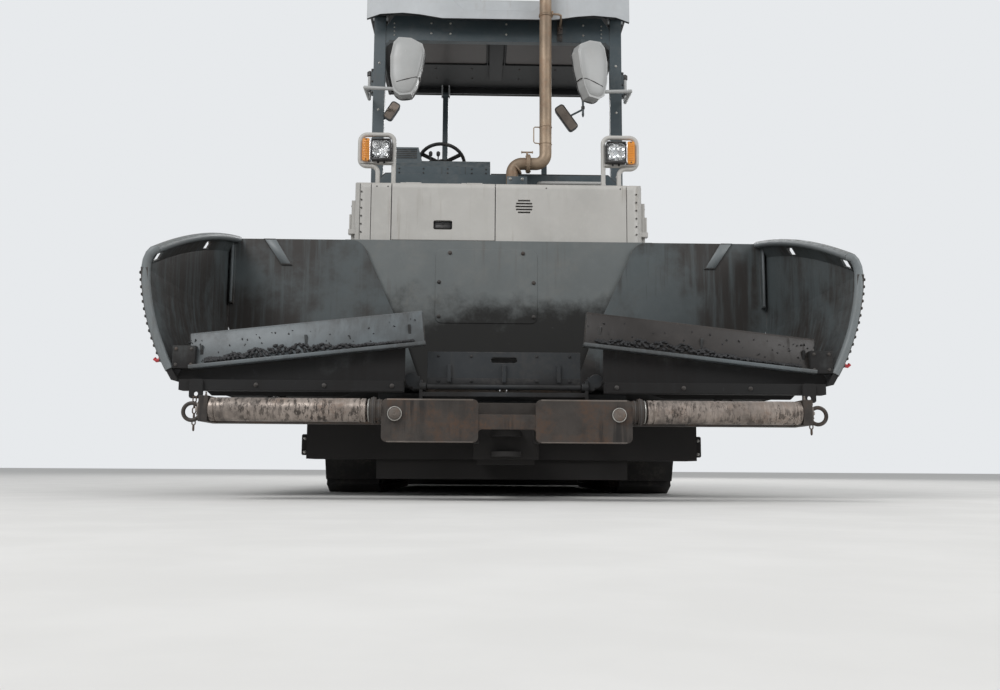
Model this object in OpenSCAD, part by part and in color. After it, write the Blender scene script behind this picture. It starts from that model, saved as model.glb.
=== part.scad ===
// Asphalt paver on tracks, compact class, in millimetres.
// The front faces -Y, the right side of a viewer in front is +X, and the road is z = 0.

/* [Machine] */
// Distance from the push rollers' front to the middle of the machine
front_reach = 2500; // [2480:10:2600]
// Half width over the hood's doors, the platform and the roof
body_half_w = 935; // [920:5:950]
// Running clearance between a pin and its bore
pin_gap = 0.05; // [0.02:0.01:0.1]
// Gap between two panels that move past each other
panel_gap = 5; // [5:1:8]

/* [Tracks] */
// Width over both tracks
track_over_w = 1855; // [1840:5:1870]
// Width of a track shoe
shoe_w = 280; // [240:10:290]
// Length of a track loop
track_l = 2500; // [2400:10:2560]
// Outer radius of the loop round the front idler
idler_loop_r = 215; // [205:5:225]
// Outer radius of the loop round the rear sprocket
sprocket_loop_r = 290; // [270:5:300]
// Number of shoes in a loop
shoe_count = 40; // [36:1:46]
// Height of a shoe's pad
pad_h = 35; // [25:5:45]
// Thickness of the chain under the shoes
chain_t = 45; // [35:5:55]
// Number of bottom rollers on a side
roller_count = 7; // [5:1:8]

/* [Chassis] */
// Clearance between a track and the chassis
track_gap = 47.5; // [40:0.5:60]
// Inner width of the conveyor trough
trough_w = 740; // [700:10:760]
// Height of the belly above the road
belly_z = 80; // [60:5:100]
// Height of the side members' top
member_top_z = 490; // [480:1:492]
// Half width of the front cross box
front_box_half_w = 931; // [920:1:960]

/* [Push beam] */
// Diameter of a push roller
roller_d = 95; // [85:1:100]
// Length of a push roller
roller_l = 617; // [600:1:630]
// Height of the rollers' axis
roller_z = 360; // [350:5:370]
// Half width of the beam's face plates
face_half_w = 500; // [480:5:510]
// Width of the gap between the two face plates
face_gap_w = 230; // [200:5:260]
// Radius of the towing pin's bore
tow_bore_r = 20; // [16:1:25]

/* [Hopper] */
// Distance from the rollers' front to the hopper's front edge
hopper_setback = 450; // [440:5:480]
// Length of the hopper's wings
wing_l = 1470; // [1440:5:1480]
// Height of the wings' hinge axis
wing_hinge_z = 530; // [525:1:540]
// Distance of the wings' hinge axis from the middle
wing_hinge_x = 420; // [415:1:425]
// Widest half width of the raised side walls
wing_half_w = 1634; // [1600:2:1650]
// Height of the side wall's top at the front
wing_front_top_z = 1117; // [1080:1:1150]
// Height of the side wall's top at the rear
wing_rear_top_z = 1515; // [1480:1:1530]
// Thickness of the wings' plates
wing_t = 14; // [10:1:16]
// Diameter of the rim along the top of a side wall
rim_d = 38; // [30:1:44]

/* [Hood] */
// Height of the hood's top
hood_top_z = 1928; // [1900:2:1980]
// Height of the lower edge of the hood's light panels
hood_bottom_z = 1508; // [1490:2:1540]
// Distance from the hopper's wings to the hood's front
hood_setback = 190; // [180:5:210]
// Length of the hood
hood_l = 570; // [540:5:600]
// Thickness of the hood's panels
hood_t = 30; // [20:1:40]
// How far the side doors stand out from the hood
door_proud = 22; // [12:1:30]
// Radius of the hood's upright corners
hood_corner_r = 70; // [40:5:90]

/* [Platform] */
// Height of the platform's floor
floor_z = 1450; // [1430:5:1470]
// Length of the platform
platform_l = 1720; // [1680:5:1740]
// Height of the steering console's top
console_z = 2300; // [2260:5:2340]
// Height of the bulkhead's top
bulkhead_z = 2175; // [2140:5:2200]
// Radius of the steering wheel
wheel_r = 170; // [150:5:185]

/* [Canopy] */
// Height of the posts' lower pivots
post_pivot_z = 2100; // [2080:5:2120]
// Length of a post between its pivots
post_l = 1270; // [1250:5:1290]
// Width of a front post
front_post_w = 83; // [70:1:90]
// Height of the roof's lower edge at the sides
roof_z = 3400; // [3390:5:3420]
// How far the front fascia hangs below that edge
fascia_drop = 90; // [70:5:100]
// Height of the roof from its lower edge to its top
roof_h = 260; // [220:5:300]
// Length of the roof
roof_l = 1670; // [1620:10:1700]
// Outer diameter of the exhaust stack
stack_d = 84; // [76:1:90]
// Height of the exhaust stack's top
stack_top_z = 3750; // [3700:10:3800]

/* [Screed] */
// Half width of the basic screed
screed_half_w = 885; // [870:5:890]
// Radius of an auger
auger_r = 150; // [130:5:155]
// Pitch of the auger's flight
auger_pitch = 280; // [220:10:300]
// Height of the augers' shaft
auger_z = 320; // [300:5:340]
// Depth of the walkway behind the extensions
walkway_l = 130; // [100:5:180]
// Height of the tow arms' pivot
tow_z = 720; // [710:5:730]
// Depth of a tow arm
arm_h = 150; // [130:5:160]

/* [Hidden] */
$fn = 48;

front_y = -front_reach;
hopper_front_y = front_y + hopper_setback;
hopper_back_y = hopper_front_y + wing_l;
hood_y0 = hopper_back_y + hood_setback;
hood_y1 = hood_y0 + hood_l;
platform_y1 = hood_y1 + platform_l;
track_y0 = hopper_back_y - 570;
track_y1 = track_y0 + track_l;
track_x = track_over_w/2 - shoe_w/2;
chassis_w = track_over_w - 2*shoe_w - 2*track_gap;
chassis_y0 = hopper_front_y + 370;
chassis_y1 = track_y1 - 50;
trough_y0 = hopper_front_y + 100;
trough_t = 15;
trough_half = trough_w/2;
trough_floor_z = 455;
trough_floor_t = 20;
conveyor_top_z = 530;
wall_y0 = hopper_back_y + 15;
wall_t = 20;
tunnel_top_z = 800;
deck_t = 30;
deck_z = tunnel_top_z + deck_t;
skirt_x = 840;
skirt_z0 = 640;
wide_z0 = 1100;
auger_y = track_y1 + 170;
screed_y0 = auger_y + 180;
screed_y1 = screed_y0 + 350;
ext_y0 = screed_y1 + 20;
ext_y1 = ext_y0 + 300;
rear_y = ext_y1 + walkway_l;
stack_x = 330;
stack_y = hood_y1 - 50;
stack_z = 2220;
front_post_y = hood_y1 + 200;
rear_post_y = platform_y1 - 100;
top_pivot_z = post_pivot_z + post_l;
post_outer_x = 896;
rear_post_x = 430;

// Plain helpers: 2D outlines carried along one axis, boxes between two corners, round bars
module along_x(x0, x1) translate([x0, 0, 0]) rotate([90, 0, 90]) linear_extrude(x1 - x0) children();
module along_y(y0, y1) translate([0, y1, 0]) rotate([90, 0, 0]) linear_extrude(y1 - y0) children();
module along_z(z0, z1) translate([0, 0, z0]) linear_extrude(z1 - z0) children();
module box(a, b) translate(a) cube(b - a);
module box2(a, b) translate(a) square(b - a);
module bar_x(x0, x1, y, z, d) translate([x0, y, z]) rotate([0, 90, 0]) cylinder(d=d, h=x1 - x0);
module bar_y(y0, y1, x, z, d) translate([x, y1, z]) rotate([90, 0, 0]) cylinder(d=d, h=y1 - y0);
module bar_z(z0, z1, x, y, d) translate([x, y, z0]) cylinder(d=d, h=z1 - z0);
module both_sides() { children(); mirror([1, 0, 0]) children(); }
module rounded(x0, y0, x1, y1, r) {
  translate([x0 + r, y0]) square([x1 - x0 - 2*r, y1 - y0]);
  translate([x0, y0 + r]) square([x1 - x0, y1 - y0 - 2*r]);
  for (x = [x0 + r, x1 - r], y = [y0 + r, y1 - r]) translate([x, y]) circle(r);
}
// A round bar from one point to another, both as [x, y, z]
module rod(a, b, d) {
  v = b - a;
  translate(a) rotate([0, acos(v[2]/norm(v)), atan2(v[1], v[0])]) cylinder(d=d, h=norm(v));
}
function bezier(a, b, c, n) = [for (i = [0:n]) let(t = i/n) (1-t)*(1-t)*a + 2*t*(1-t)*b + t*t*c];
function reversed(v) = [for (i = [len(v)-1:-1:0]) v[i]];

// Track loop: the chain line round both wheels, as [y, z, outward angle] at a length s
idler_r = idler_loop_r - pad_h;
sprocket_r = sprocket_loop_r - pad_h;
idler_y = track_y0 + idler_loop_r;
sprocket_y = track_y1 - sprocket_loop_r;
wheel_base = sprocket_y - idler_y;
rise_a = atan2(sprocket_r - idler_r, wheel_base);
rear_arc = sprocket_r*(180 + 2*rise_a)*PI/180;
front_arc = idler_r*(180 - 2*rise_a)*PI/180;
loop_l = 2*wheel_base + rear_arc + front_arc;
function on_circle(y, z, r, a) = [y + r*cos(a), z + r*sin(a), a];
function loop_at(s, in) =
  let(ri = idler_r - in, rs = sprocket_r - in, top_a = 90 + 2*rise_a)
  s < wheel_base ? [idler_y + s, pad_h + in, -90] :
  s < wheel_base + rear_arc ?
    on_circle(sprocket_y, sprocket_loop_r, rs, -90 + (s - wheel_base)/sprocket_r*180/PI) :
  s < 2*wheel_base + rear_arc ?
    let(t = s - wheel_base - rear_arc, p = on_circle(sprocket_y, sprocket_loop_r, rs, top_a))
    [p[0] - t*sin(top_a), p[1] + t*cos(top_a), top_a] :
  on_circle(idler_y, idler_loop_r, ri, top_a + (s - 2*wheel_base - rear_arc)/idler_r*180/PI);
function raised(p, h) = [p[0] + h*cos(p[2]), p[1] + h*sin(p[2])];
shoe_pitch = loop_l/shoe_count;
// Each shoe in the outline: position along the pitch and height of its corner
shoe_corners = [[0.06, 0], [0.12, 1], [0.88, 1], [0.94, 0]];
module track_loop() {
  outer = [for (i = [0:shoe_count-1], c = shoe_corners)
    raised(loop_at((i + c[0])*shoe_pitch, 0), c[1]*pad_h)];
  inner_steps = 160;
  inner = [for (i = [0:inner_steps-1]) raised(loop_at(i*loop_l/inner_steps, chain_t), 0)];
  along_x(-shoe_w/2, shoe_w/2) difference() { polygon(outer); polygon(inner); }
}
module track_left() color("#2b2b2b") translate([-track_x, 0, 0]) track_loop();
module track_right() color("#2b2b2b") translate([track_x, 0, 0]) track_loop();

// Track frames: a beam on each side, held to the chassis by two cross tubes
frame_w = 110;
bottom_roller_d = 130;
bottom_roller_z = pad_h + chain_t + bottom_roller_d/2 + 0.3;
frame_z0 = bottom_roller_z + 30;
frame_h = 150;
fork_w = 80;
roller_axle_d = 36;
bottom_roller_ys = [for (i = [0:roller_count-1])
  idler_y + 215 + i*(sprocket_y - idler_y - 525)/(roller_count - 1)];
module track_frames() color("#33383b") both_sides() {
  difference() {
    along_x(track_x - frame_w/2, track_x + frame_w/2)
      polygon([[idler_y - 60, frame_z0 - 60], [idler_y - 60, frame_z0 + 60],
        [idler_y + 160, frame_z0 + frame_h - 30], [sprocket_y - 320, frame_z0 + frame_h],
        [sprocket_y + 60, sprocket_loop_r + 60], [sprocket_y + 60, sprocket_loop_r - 60],
        [sprocket_y - 240, frame_z0], [idler_y + 140, frame_z0]]);
    along_x(track_x - fork_w/2, track_x + fork_w/2) {
      translate([idler_y - 80, 0]) square([220, frame_z0 + 200]);
      translate([sprocket_y - 230, 0]) square([300, 400]);
    }
    for (y = bottom_roller_ys)
      bar_x(track_x - frame_w/2 - 1, track_x + frame_w/2 + 1, y, bottom_roller_z, roller_axle_d + 0.6);
  }
  for (y = [idler_y + 430, sprocket_y - 480])
    box([chassis_w/2, y - 70, frame_z0 + 45], [track_x - frame_w/2, y + 70, frame_z0 + 135]);
}
module track_wheel(y, z, d, w, hub_d) {
  difference() {
    bar_x(-w/2, w/2, y, z, d);
    for (s = [-1, 1]) bar_x(s > 0 ? w/2 - 12 : -w/2 - 1, s > 0 ? w/2 + 1 : -w/2 + 12, y, z, d - 50);
  }
  bar_x(-fork_w/2 + 0.3, fork_w/2 - 0.3, y, z, hub_d);
}
module track_wheels() color("#3a3d3e") both_sides() translate([track_x, 0, 0]) {
  track_wheel(idler_y, idler_loop_r, 2*(idler_r - chain_t - 1.3), 60, 60);
  track_wheel(sprocket_y, sprocket_loop_r, 2*(sprocket_r - chain_t - 1.3), 60, 150);
  for (y = bottom_roller_ys) {
    for (s = [-1, 1]) bar_x(s*86 - 28, s*86 + 28, y, bottom_roller_z, bottom_roller_d);
    bar_x(-70, 70, y, bottom_roller_z, roller_axle_d);
  }
}

// Chassis: belly, side members, conveyor trough and the wings' hinge pins
hinge_lug_t = 15;
hinge_pin_d = 40;
hinge_tube_d = 64;
hinge_ys = [trough_y0 + 10, (trough_y0 + hopper_back_y)/2, hopper_back_y - hinge_lug_t - 20];
module chassis_frame() color("#2a2e30") {
  box([-chassis_w/2, chassis_y0, belly_z], [chassis_w/2, chassis_y1, belly_z + 20]);
  both_sides() {
    box([trough_half + trough_t, chassis_y0, belly_z + 20], [chassis_w/2, chassis_y1, member_top_z]);
    box([trough_half, chassis_y0, belly_z + 20], [trough_half + trough_t, chassis_y1, conveyor_top_z]);
    box([trough_half, trough_y0, 300], [trough_half + trough_t, chassis_y0, conveyor_top_z]);
    for (y = hinge_ys) along_y(y, y + hinge_lug_t) {
      translate([wing_hinge_x, wing_hinge_z]) circle(d=hinge_tube_d);
      translate([trough_half + trough_t, wing_hinge_z - hinge_tube_d/2 - 10]) square([30, 60]);
    }
    // Lug and pin of the front apron
    along_x(apron_half_w + panel_gap, trough_half + trough_t) {
      translate([apron_pivot[0], apron_pivot[1]]) circle(r=18);
      translate([apron_pivot[0], apron_pivot[1] - 18]) square([30, 36]);
    }
    bar_x(apron_half_w - 40, apron_half_w + panel_gap, apron_pivot[0], apron_pivot[1], apron_pin_d);
    bar_y(hinge_ys[0], hinge_ys[2] + hinge_lug_t, wing_hinge_x, wing_hinge_z, hinge_pin_d);
  }
  box([-trough_half, trough_y0, trough_floor_z],
    [trough_half, chassis_y1, trough_floor_z + trough_floor_t]);
  box([-trough_half, chassis_y0, belly_z + 20], [trough_half, chassis_y0 + 20, trough_floor_z]);
  box([-trough_half, chassis_y1 - 20, belly_z + 20], [trough_half, chassis_y1, trough_floor_z]);
}

// Front cross box with the towing tongue and the end tabs
tongue_y = hopper_front_y - 70;
tongue_z = [185, 295];
tongue_half_w = 120;
beam_pin_d = 60;
module front_box() color("#1d1f20") {
  difference() {
    box([-front_box_half_w, chassis_y0 - 20, 173], [front_box_half_w, chassis_y0, 430]);
    box([-trough_half - trough_t, chassis_y0 - 21, 298], [trough_half + trough_t, chassis_y0 + 1, 431]);
  }
  both_sides() {
    box([chassis_w/2, chassis_y0, 173], [front_box_half_w, chassis_y0 + 240, 430]);
    along_y(chassis_y0 + 20, chassis_y0 + 45) rounded(front_box_half_w, 190, front_box_half_w + 30, 290, 8);
  }
  difference() {
    union() {
      box([-tongue_half_w, tongue_y, tongue_z[0]], [tongue_half_w, chassis_y0 - 20, tongue_z[1]]);
      bar_z(tongue_z[0], tongue_z[1], 0, tongue_y, 2*tongue_half_w);
    }
    bar_z(tongue_z[0] - 1, tongue_z[1] + 1, 0, tongue_y, beam_pin_d + 2*pin_gap);
  }
  both_sides() wing_cylinder_bracket();
}

// Push beam: face plates, rear beam and roller ends
face_y0 = front_y + 12;
face_t = 46;
face_z = [233, 405];
bar_z0 = 286;
bar_z1 = 345;
roller_x0 = 565;
roller_x1 = roller_x0 + roller_l;
roller_y = front_y + roller_d/2;
rear_beam_y = [front_y + 150, front_y + 230];
rear_beam_z = [310, 400];
axle_d = 40;
coupling_half_w = face_gap_w/2 + 20;
module push_beam() color("#4a4038") difference() {
  union() {
    both_sides() {
      along_y(face_y0, face_y0 + face_t) rounded(face_gap_w/2, face_z[0], face_half_w, face_z[1], 22);
      along_y(face_y0 + 4, face_y0 + 40) box2([-1, bar_z0], [face_gap_w/2 + 1, bar_z1]);
      along_y(face_y0 + 4, face_y0 + 40) difference() {
        box2([face_gap_w/2 - 14, bar_z0 - 14], [face_gap_w/2 + 1, bar_z0 + 1]);
        translate([face_gap_w/2 - 14, bar_z0 - 14]) circle(14);
      }
      box([coupling_half_w, face_y0 + face_t, 250], [face_half_w - 15, rear_beam_y[0], 395]);
      bar_x(face_half_w, roller_x0 - 8, roller_y, roller_z, roller_d - 7);
      bar_x(face_half_w + 24, face_half_w + 44, roller_y, roller_z, roller_d + 9);
      bar_y(face_y0 - 10, face_y0, 447, 345, 50);
      box([roller_x1 + 4, front_y + 6, 310], [roller_x1 + 40, rear_beam_y[1], 412]);
      translate([roller_x1 + 80, front_y + 60, 350]) rotate([90, 0, 0])
        rotate_extrude() translate([34, 0]) circle(d=16);
    }
    box([-roller_x1 - 4, rear_beam_y[0], rear_beam_z[0]], [roller_x1 + 4, rear_beam_y[1], rear_beam_z[1]]);
  }
  both_sides() bar_x(face_half_w - 40, roller_x0, roller_y, roller_z, axle_d + 2*pin_gap);
  both_sides() bar_x(roller_x1, roller_x1 + 60, roller_y, roller_z, axle_d + 2*pin_gap);
}

// Coupling in the beam's middle: towing jaw, and the neck round the tongue
tow_jaw_y = rear_beam_y[0] - 35;
tow_jaw_z = [180, 284];
coupling_wall = 24;
neck_z = [148, 332];
module coupling() color("#1f1d1b") {
  both_sides() box([coupling_half_w - coupling_wall, face_y0 + face_t + 0.3, face_z[0]],
    [coupling_half_w - 0.3, rear_beam_y[0], rear_beam_z[0]]);
  box([-coupling_half_w + 0.3, rear_beam_y[0], 170],
    [coupling_half_w - 0.3, rear_beam_y[1], rear_beam_z[0]]);
  for (z = [[neck_z[0], tow_jaw_z[0]], [300, neck_z[1]]])
    along_z(z[0], z[1]) {
      translate([-tongue_half_w, rear_beam_y[1]]) square([2*tongue_half_w, tongue_y - rear_beam_y[1]]);
      translate([0, tongue_y]) circle(tongue_half_w - 20);
    }
  box([-tongue_half_w, rear_beam_y[1] - 20, neck_z[0]], [tongue_half_w, rear_beam_y[1], tow_jaw_z[0]]);
  bar_z(tow_jaw_z[0], 300, 0, tongue_y, beam_pin_d);
  difference() {
    for (z = [[tow_jaw_z[0], tow_jaw_z[0] + 20], [tow_jaw_z[1] - 22, tow_jaw_z[1]]])
      along_z(z[0], z[1]) {
        box2([-60, tow_jaw_y], [60, rear_beam_y[0]]);
        translate([0, tow_jaw_y]) circle(60);
      }
    bar_z(tow_jaw_z[0] - 1, tow_jaw_z[1] + 1, 0, tow_jaw_y, 2*tow_bore_r);
  }
}
module push_roller() {
  difference() {
    bar_x(roller_x0, roller_x1, roller_y, roller_z, roller_d);
    for (x = [roller_x0 + 16, roller_x1 - 24])
      translate([x, roller_y, roller_z]) rotate([0, 90, 0]) rotate_extrude()
        translate([roller_d/2 - 4, 0]) square([6, 8]);
  }
  bar_x(face_half_w - 38, roller_x1 + 52, roller_y, roller_z, axle_d);
}
module push_roller_left() color("#8a837a") mirror([1, 0, 0]) push_roller();
module push_roller_right() color("#8a837a") push_roller();

// Front apron between the wings, hinged along its lower rear edge
apron_y = hopper_front_y + 105;
apron_z = [500, 660];
apron_half_w = 350;
apron_pivot = [apron_y + 6, apron_z[0]];
apron_pin_d = 12;
module apron() color("#17181a") {
  along_y(apron_y, apron_y + 12) difference() {
    translate([-apron_half_w, apron_z[0] + 9]) square([2*apron_half_w, apron_z[1] - apron_z[0] - 9]);
    rounded(-60, apron_z[1] - 50, 60, apron_z[1] - 25, 12);
  }
  for (x = [-250, 0, 250]) box([x - 8, apron_y - 14, apron_z[0] + 20], [x + 8, apron_y, apron_z[1] - 60]);
  difference() {
    bar_x(-apron_half_w, apron_half_w, apron_pivot[0], apron_pivot[1], 26);
    both_sides() bar_x(apron_half_w - 41, apron_half_w + 1, apron_pivot[0], apron_pivot[1],
      apron_pin_d + 2*pin_gap);
  }
}

// Hopper wing of the right side: floor, curved side wall with rim, rear wall and front lip
rim_r = 7836;
rim_span = [hopper_back_y - hopper_front_y, wing_rear_top_z - wing_front_top_z];
rim_chord = norm(rim_span);
rim_drop = sqrt(rim_r*rim_r - rim_chord*rim_chord/4);
rim_c = [(hopper_front_y + hopper_back_y)/2 + rim_span[1]/rim_chord*rim_drop,
  (wing_front_top_z + wing_rear_top_z)/2 - rim_span[0]/rim_chord*rim_drop];
rim_a0 = atan2(wing_rear_top_z - rim_c[1], hopper_back_y - rim_c[0]);
rim_a1 = atan2(wing_front_top_z - rim_c[1], hopper_front_y - rim_c[0]);
flange_h = 95;
flange_in = 55;
wing_foot_x = wing_half_w - 159;
wing_belly = concat(
  bezier([wing_foot_x, 512], [wing_half_w - 15, 740], [wing_half_w, 1020], 8),
  [[wing_half_w, wing_rear_top_z]]);
function moved(v, dx) = [for (p = v) [p[0] + dx, p[1]]];
module wall_outline(t) polygon(concat(wing_belly, reversed(moved(wing_belly, -t))));
module round_arc(x_top) translate([0, rim_c[0], rim_c[1]]) rotate([90, 0, 90])
  rotate([0, 0, rim_a0]) rotate_extrude(angle=rim_a1 - rim_a0, $fn=720) children();
function slot_angle(y) = atan2(y - rim_c[0], -sqrt(rim_r*rim_r - pow(y - rim_c[0], 2))) + 180;
lip_a = 6.3;
lip_l = 1050;
lip_h = 150;
rear_wall_inner = [[wing_hinge_x + 20, 560], [560, 900], [790, 1400]];
module wing() {
  intersection() {
    union() {
      along_y(hopper_front_y, hopper_back_y) wall_outline(wing_t);
      along_y(hopper_front_y, hopper_front_y + 26) wall_outline(30);
    }
    translate([0, rim_c[0], rim_c[1]]) rotate([0, 90, 0]) cylinder(r=rim_r - flange_h + 2, h=2000, $fn=720);
  }
  difference() {
    round_arc() {
      polygon([[rim_r - flange_h, wing_half_w], [rim_r - 12, wing_half_w - flange_in],
        [rim_r - 12, wing_half_w - flange_in - wing_t], [rim_r - flange_h, wing_half_w - wing_t]]);
      translate([rim_r - rim_d/2, wing_half_w - flange_in - 6]) circle(d=rim_d);
    }
    for (y = [hopper_front_y + 110, hopper_front_y + 900])
      translate([0, rim_c[0], rim_c[1]]) rotate([slot_angle(y), 0, 0])
        translate([wing_half_w - 200, -50, rim_r - 84]) cube([300, 100, 36]);
  }
  // Floor, underside ribs and front beam
  floor_x0 = wing_hinge_x + 24;
  difference() {
    box([floor_x0, hopper_front_y + 60, 515], [wing_foot_x - 2, hopper_back_y, 530]);
    for (y = hinge_ys) box([floor_x0 - 1, y - panel_gap, 514],
      [wing_hinge_x + hinge_tube_d/2 + panel_gap, y + hinge_lug_t + panel_gap, 531]);
  }
  for (y = [hopper_front_y + 330, hopper_back_y - 200])
    along_y(y, y + 12) polygon([[chassis_w/2 + 20, 515], [wing_foot_x - 40, 515],
      [wing_foot_x - 90, 468], [chassis_w/2 + 180, 468]]);
  box([floor_x0 + 6, hopper_front_y, 468], [wing_foot_x - 35, hopper_front_y + 70, 515]);
  difference() {
    union() {
      for (i = [0, 1]) bar_y(hinge_ys[i] + hinge_lug_t + panel_gap, hinge_ys[i+1] - panel_gap,
        wing_hinge_x, wing_hinge_z, hinge_tube_d);
    }
    bar_y(hinge_ys[0] - 1, hinge_ys[2] + 1, wing_hinge_x, wing_hinge_z, hinge_pin_d + 2*pin_gap);
  }
  // Rear wall with its rounded inner corner and a stiffening strip
  along_y(hopper_back_y - 12, hopper_back_y) {
    polygon(concat(rear_wall_inner, bezier([790, 1400], [815, 1500], [900, 1500], 6),
      [[wing_half_w - 40, 1500], [wing_half_w - 10, 1400], [wing_half_w - 10, 1000],
      [wing_foot_x + 5, 530], [wing_hinge_x + 24, 515]]));
  }
  along_y(hopper_back_y - 20, hopper_back_y - 12)
    polygon([[wing_half_w - 284, 1500], [wing_half_w - 214, 1500], [wing_half_w - 324, 1340],
      [wing_half_w - 389, 1340]]);
  along_y(hopper_back_y - 60, hopper_back_y - 12)
    box2([wing_half_w - 46, 1100], [wing_half_w - 34, 1470]);
  // Front wall, sloped lip and ledge
  along_y(hopper_front_y + 34, hopper_front_y + 46)
    polygon([[floor_x0 + 2, 515], [floor_x0 + 2, 700], [wing_foot_x - 40, 580], [wing_foot_x - 10, 515]]);
  translate([355, hopper_front_y + 14, 690]) rotate([0, lip_a, 0]) {
    rotate([-14, 0, 0]) cube([lip_l, 14, lip_h]);
    translate([0, -26, -12]) cube([lip_l, 56, 14]);
    for (x = [60, lip_l/2, lip_l - 60]) translate([x, 8, 0]) cube([12, 22, lip_h - 60]);
  }
  box([wing_foot_x - 101, hopper_front_y, 564], [wing_foot_x - 1, hopper_front_y + 60, 665]);
  // Eye plate for the chain, and the lug beside the cylinder's eye
  along_y(hopper_front_y - 12, hopper_front_y) difference() {
    rounded(chain_x - 30, 430, chain_x + 30, 516, 12);
    translate([chain_x, 450]) circle(r=10);
  }
  along_y(wing_cyl_y + 26, wing_cyl_y + 42) difference() {
    rounded(wing_eye[0] - 45, wing_eye[1] - 40, wing_eye[0] + 45, 515, 20);
    translate(wing_eye) circle(r=16);
  }
}
module wing_left() color("#3f4746") mirror([1, 0, 0]) wing();
module wing_right() color("#3f4746") wing();

// Short hanging chain at each wing's front corner
chain_l = 150;
chain_x = wing_foot_x - 115;
module chain_body(x) bar_z(438 - chain_l, 438, x, hopper_front_y - 22, 20, $fn=8);
module chain_left() color("#3a2f28") chain_body(-chain_x);
module chain_right() color("#3a2f28") chain_body(chain_x);

// Wing cylinders: bracket on the front box, barrel on its pin, rod beside the wing's lug
wing_cyl_y = chassis_y0 + 290;
wing_root = [chassis_w/2 + 30, 235];
wing_eye = [1150, 462];
wing_cyl_l = norm(wing_eye - wing_root);
wing_cyl_a = atan2(wing_eye[1] - wing_root[1], wing_eye[0] - wing_root[0]);
barrel_d = 66;
rod_d = 36;
eye_pin_d = 30;
module wing_cylinder_bracket() {
  along_y(chassis_y0 + 240, wing_cyl_y - 22) difference() {
    union() {
      translate(wing_root) circle(r=38);
      box2([chassis_w/2, wing_root[1] - 38], [wing_root[0], wing_root[1] + 38]);
    }
    box2([wing_root[0] - 50, wing_root[1] - 50], [chassis_w/2, wing_root[1] + 50]);
  }
  bar_y(wing_cyl_y - 23, wing_cyl_y + 22, wing_root[0], wing_root[1], eye_pin_d);
}
module wing_cyl_frame() translate([wing_root[0], wing_cyl_y, wing_root[1]])
  rotate([0, -wing_cyl_a, 0]) children();
module wing_barrel() wing_cyl_frame() difference() {
  union() {
    rotate([90, 0, 0]) cylinder(r=30, h=36, center=true);
    translate([0, -18, -22]) cube([60, 36, 44]);
    translate([46, 0, 0]) rotate([0, 90, 0]) cylinder(d=barrel_d, h=wing_cyl_l - 172);
  }
  rotate([90, 0, 0]) cylinder(d=eye_pin_d + 2*pin_gap, h=80, center=true);
  translate([80, 0, 0]) rotate([0, 90, 0]) cylinder(d=rod_d + 2*pin_gap, h=wing_cyl_l);
}
module wing_rod() wing_cyl_frame() difference() {
  union() {
    translate([85, 0, 0]) rotate([0, 90, 0]) cylinder(d=rod_d, h=wing_cyl_l - 85 - 20);
    translate([wing_cyl_l, 0, 0]) rotate([90, 0, 0]) cylinder(r=30, h=28, center=true);
  }
  translate([wing_cyl_l, 0, 0]) rotate([90, 0, 0]) cylinder(r=15, h=80, center=true);
}
module wing_barrel_left() color("#4d5254") mirror([1, 0, 0]) wing_barrel();
module wing_barrel_right() color("#4d5254") wing_barrel();
module wing_rod_left() color("silver") mirror([1, 0, 0]) wing_rod();
module wing_rod_right() color("silver") wing_rod();

// Fixed rear wall of the hopper with the tunnel's mouth, and the ledge under the hood
module hopper_wall() color("#6d7270") {
  along_y(wall_y0, wall_y0 + wall_t) difference() {
    union() {
      box2([-body_half_w, 620], [body_half_w, hood_bottom_z - 15]);
      box2([-chassis_w/2, member_top_z], [chassis_w/2, member_top_z + 300]);
    }
    box2([-trough_half - trough_t, member_top_z - 1], [trough_half + trough_t, tunnel_top_z]);
  }
  along_y(wall_y0 - 3, wall_y0) rounded(-384, 1000, 233, 1453, 40);
  box([-body_half_w, wall_y0, hood_bottom_z - 15], [body_half_w, hood_y0 + hood_t, hood_bottom_z]);
}

// Tunnel over the conveyors, with the deck plate that carries engine and tanks
module tunnel() color("#2a2e30") {
  both_sides() box([trough_half, wall_y0, conveyor_top_z],
    [trough_half + trough_t, chassis_y1, tunnel_top_z]);
  box([-skirt_x, wall_y0 + wall_t, tunnel_top_z], [skirt_x, chassis_y1, deck_z]);
  both_sides() {
    box([chassis_w/2 - 30, wall_y0 + wall_t, member_top_z], [chassis_w/2, chassis_y1, tunnel_top_z]);
    box([skirt_x - 25, wall_y0 + wall_t, skirt_z0], [skirt_x, chassis_y1, tunnel_top_z]);
    for (y = [tow_y - slider_half_l - 15, tow_y + slider_half_l + 0.3])
      box([skirt_x, y, tow_z - 70], [skirt_x + 17, y + 14.7, tow_z + 190]);
    difference() {
      union() {
        bar_z(tow_z + 210, wide_z0 - 2, level_x, tow_y, 36);
        box([skirt_x, tow_y - 14, tow_z + 230], [level_x, tow_y + 14, wide_z0 - 12]);
      }
      bar_z(tow_z + 209, wide_z0 - 12, level_x, tow_y, level_rod_d + 2*pin_gap);
    }
  }
}

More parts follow.
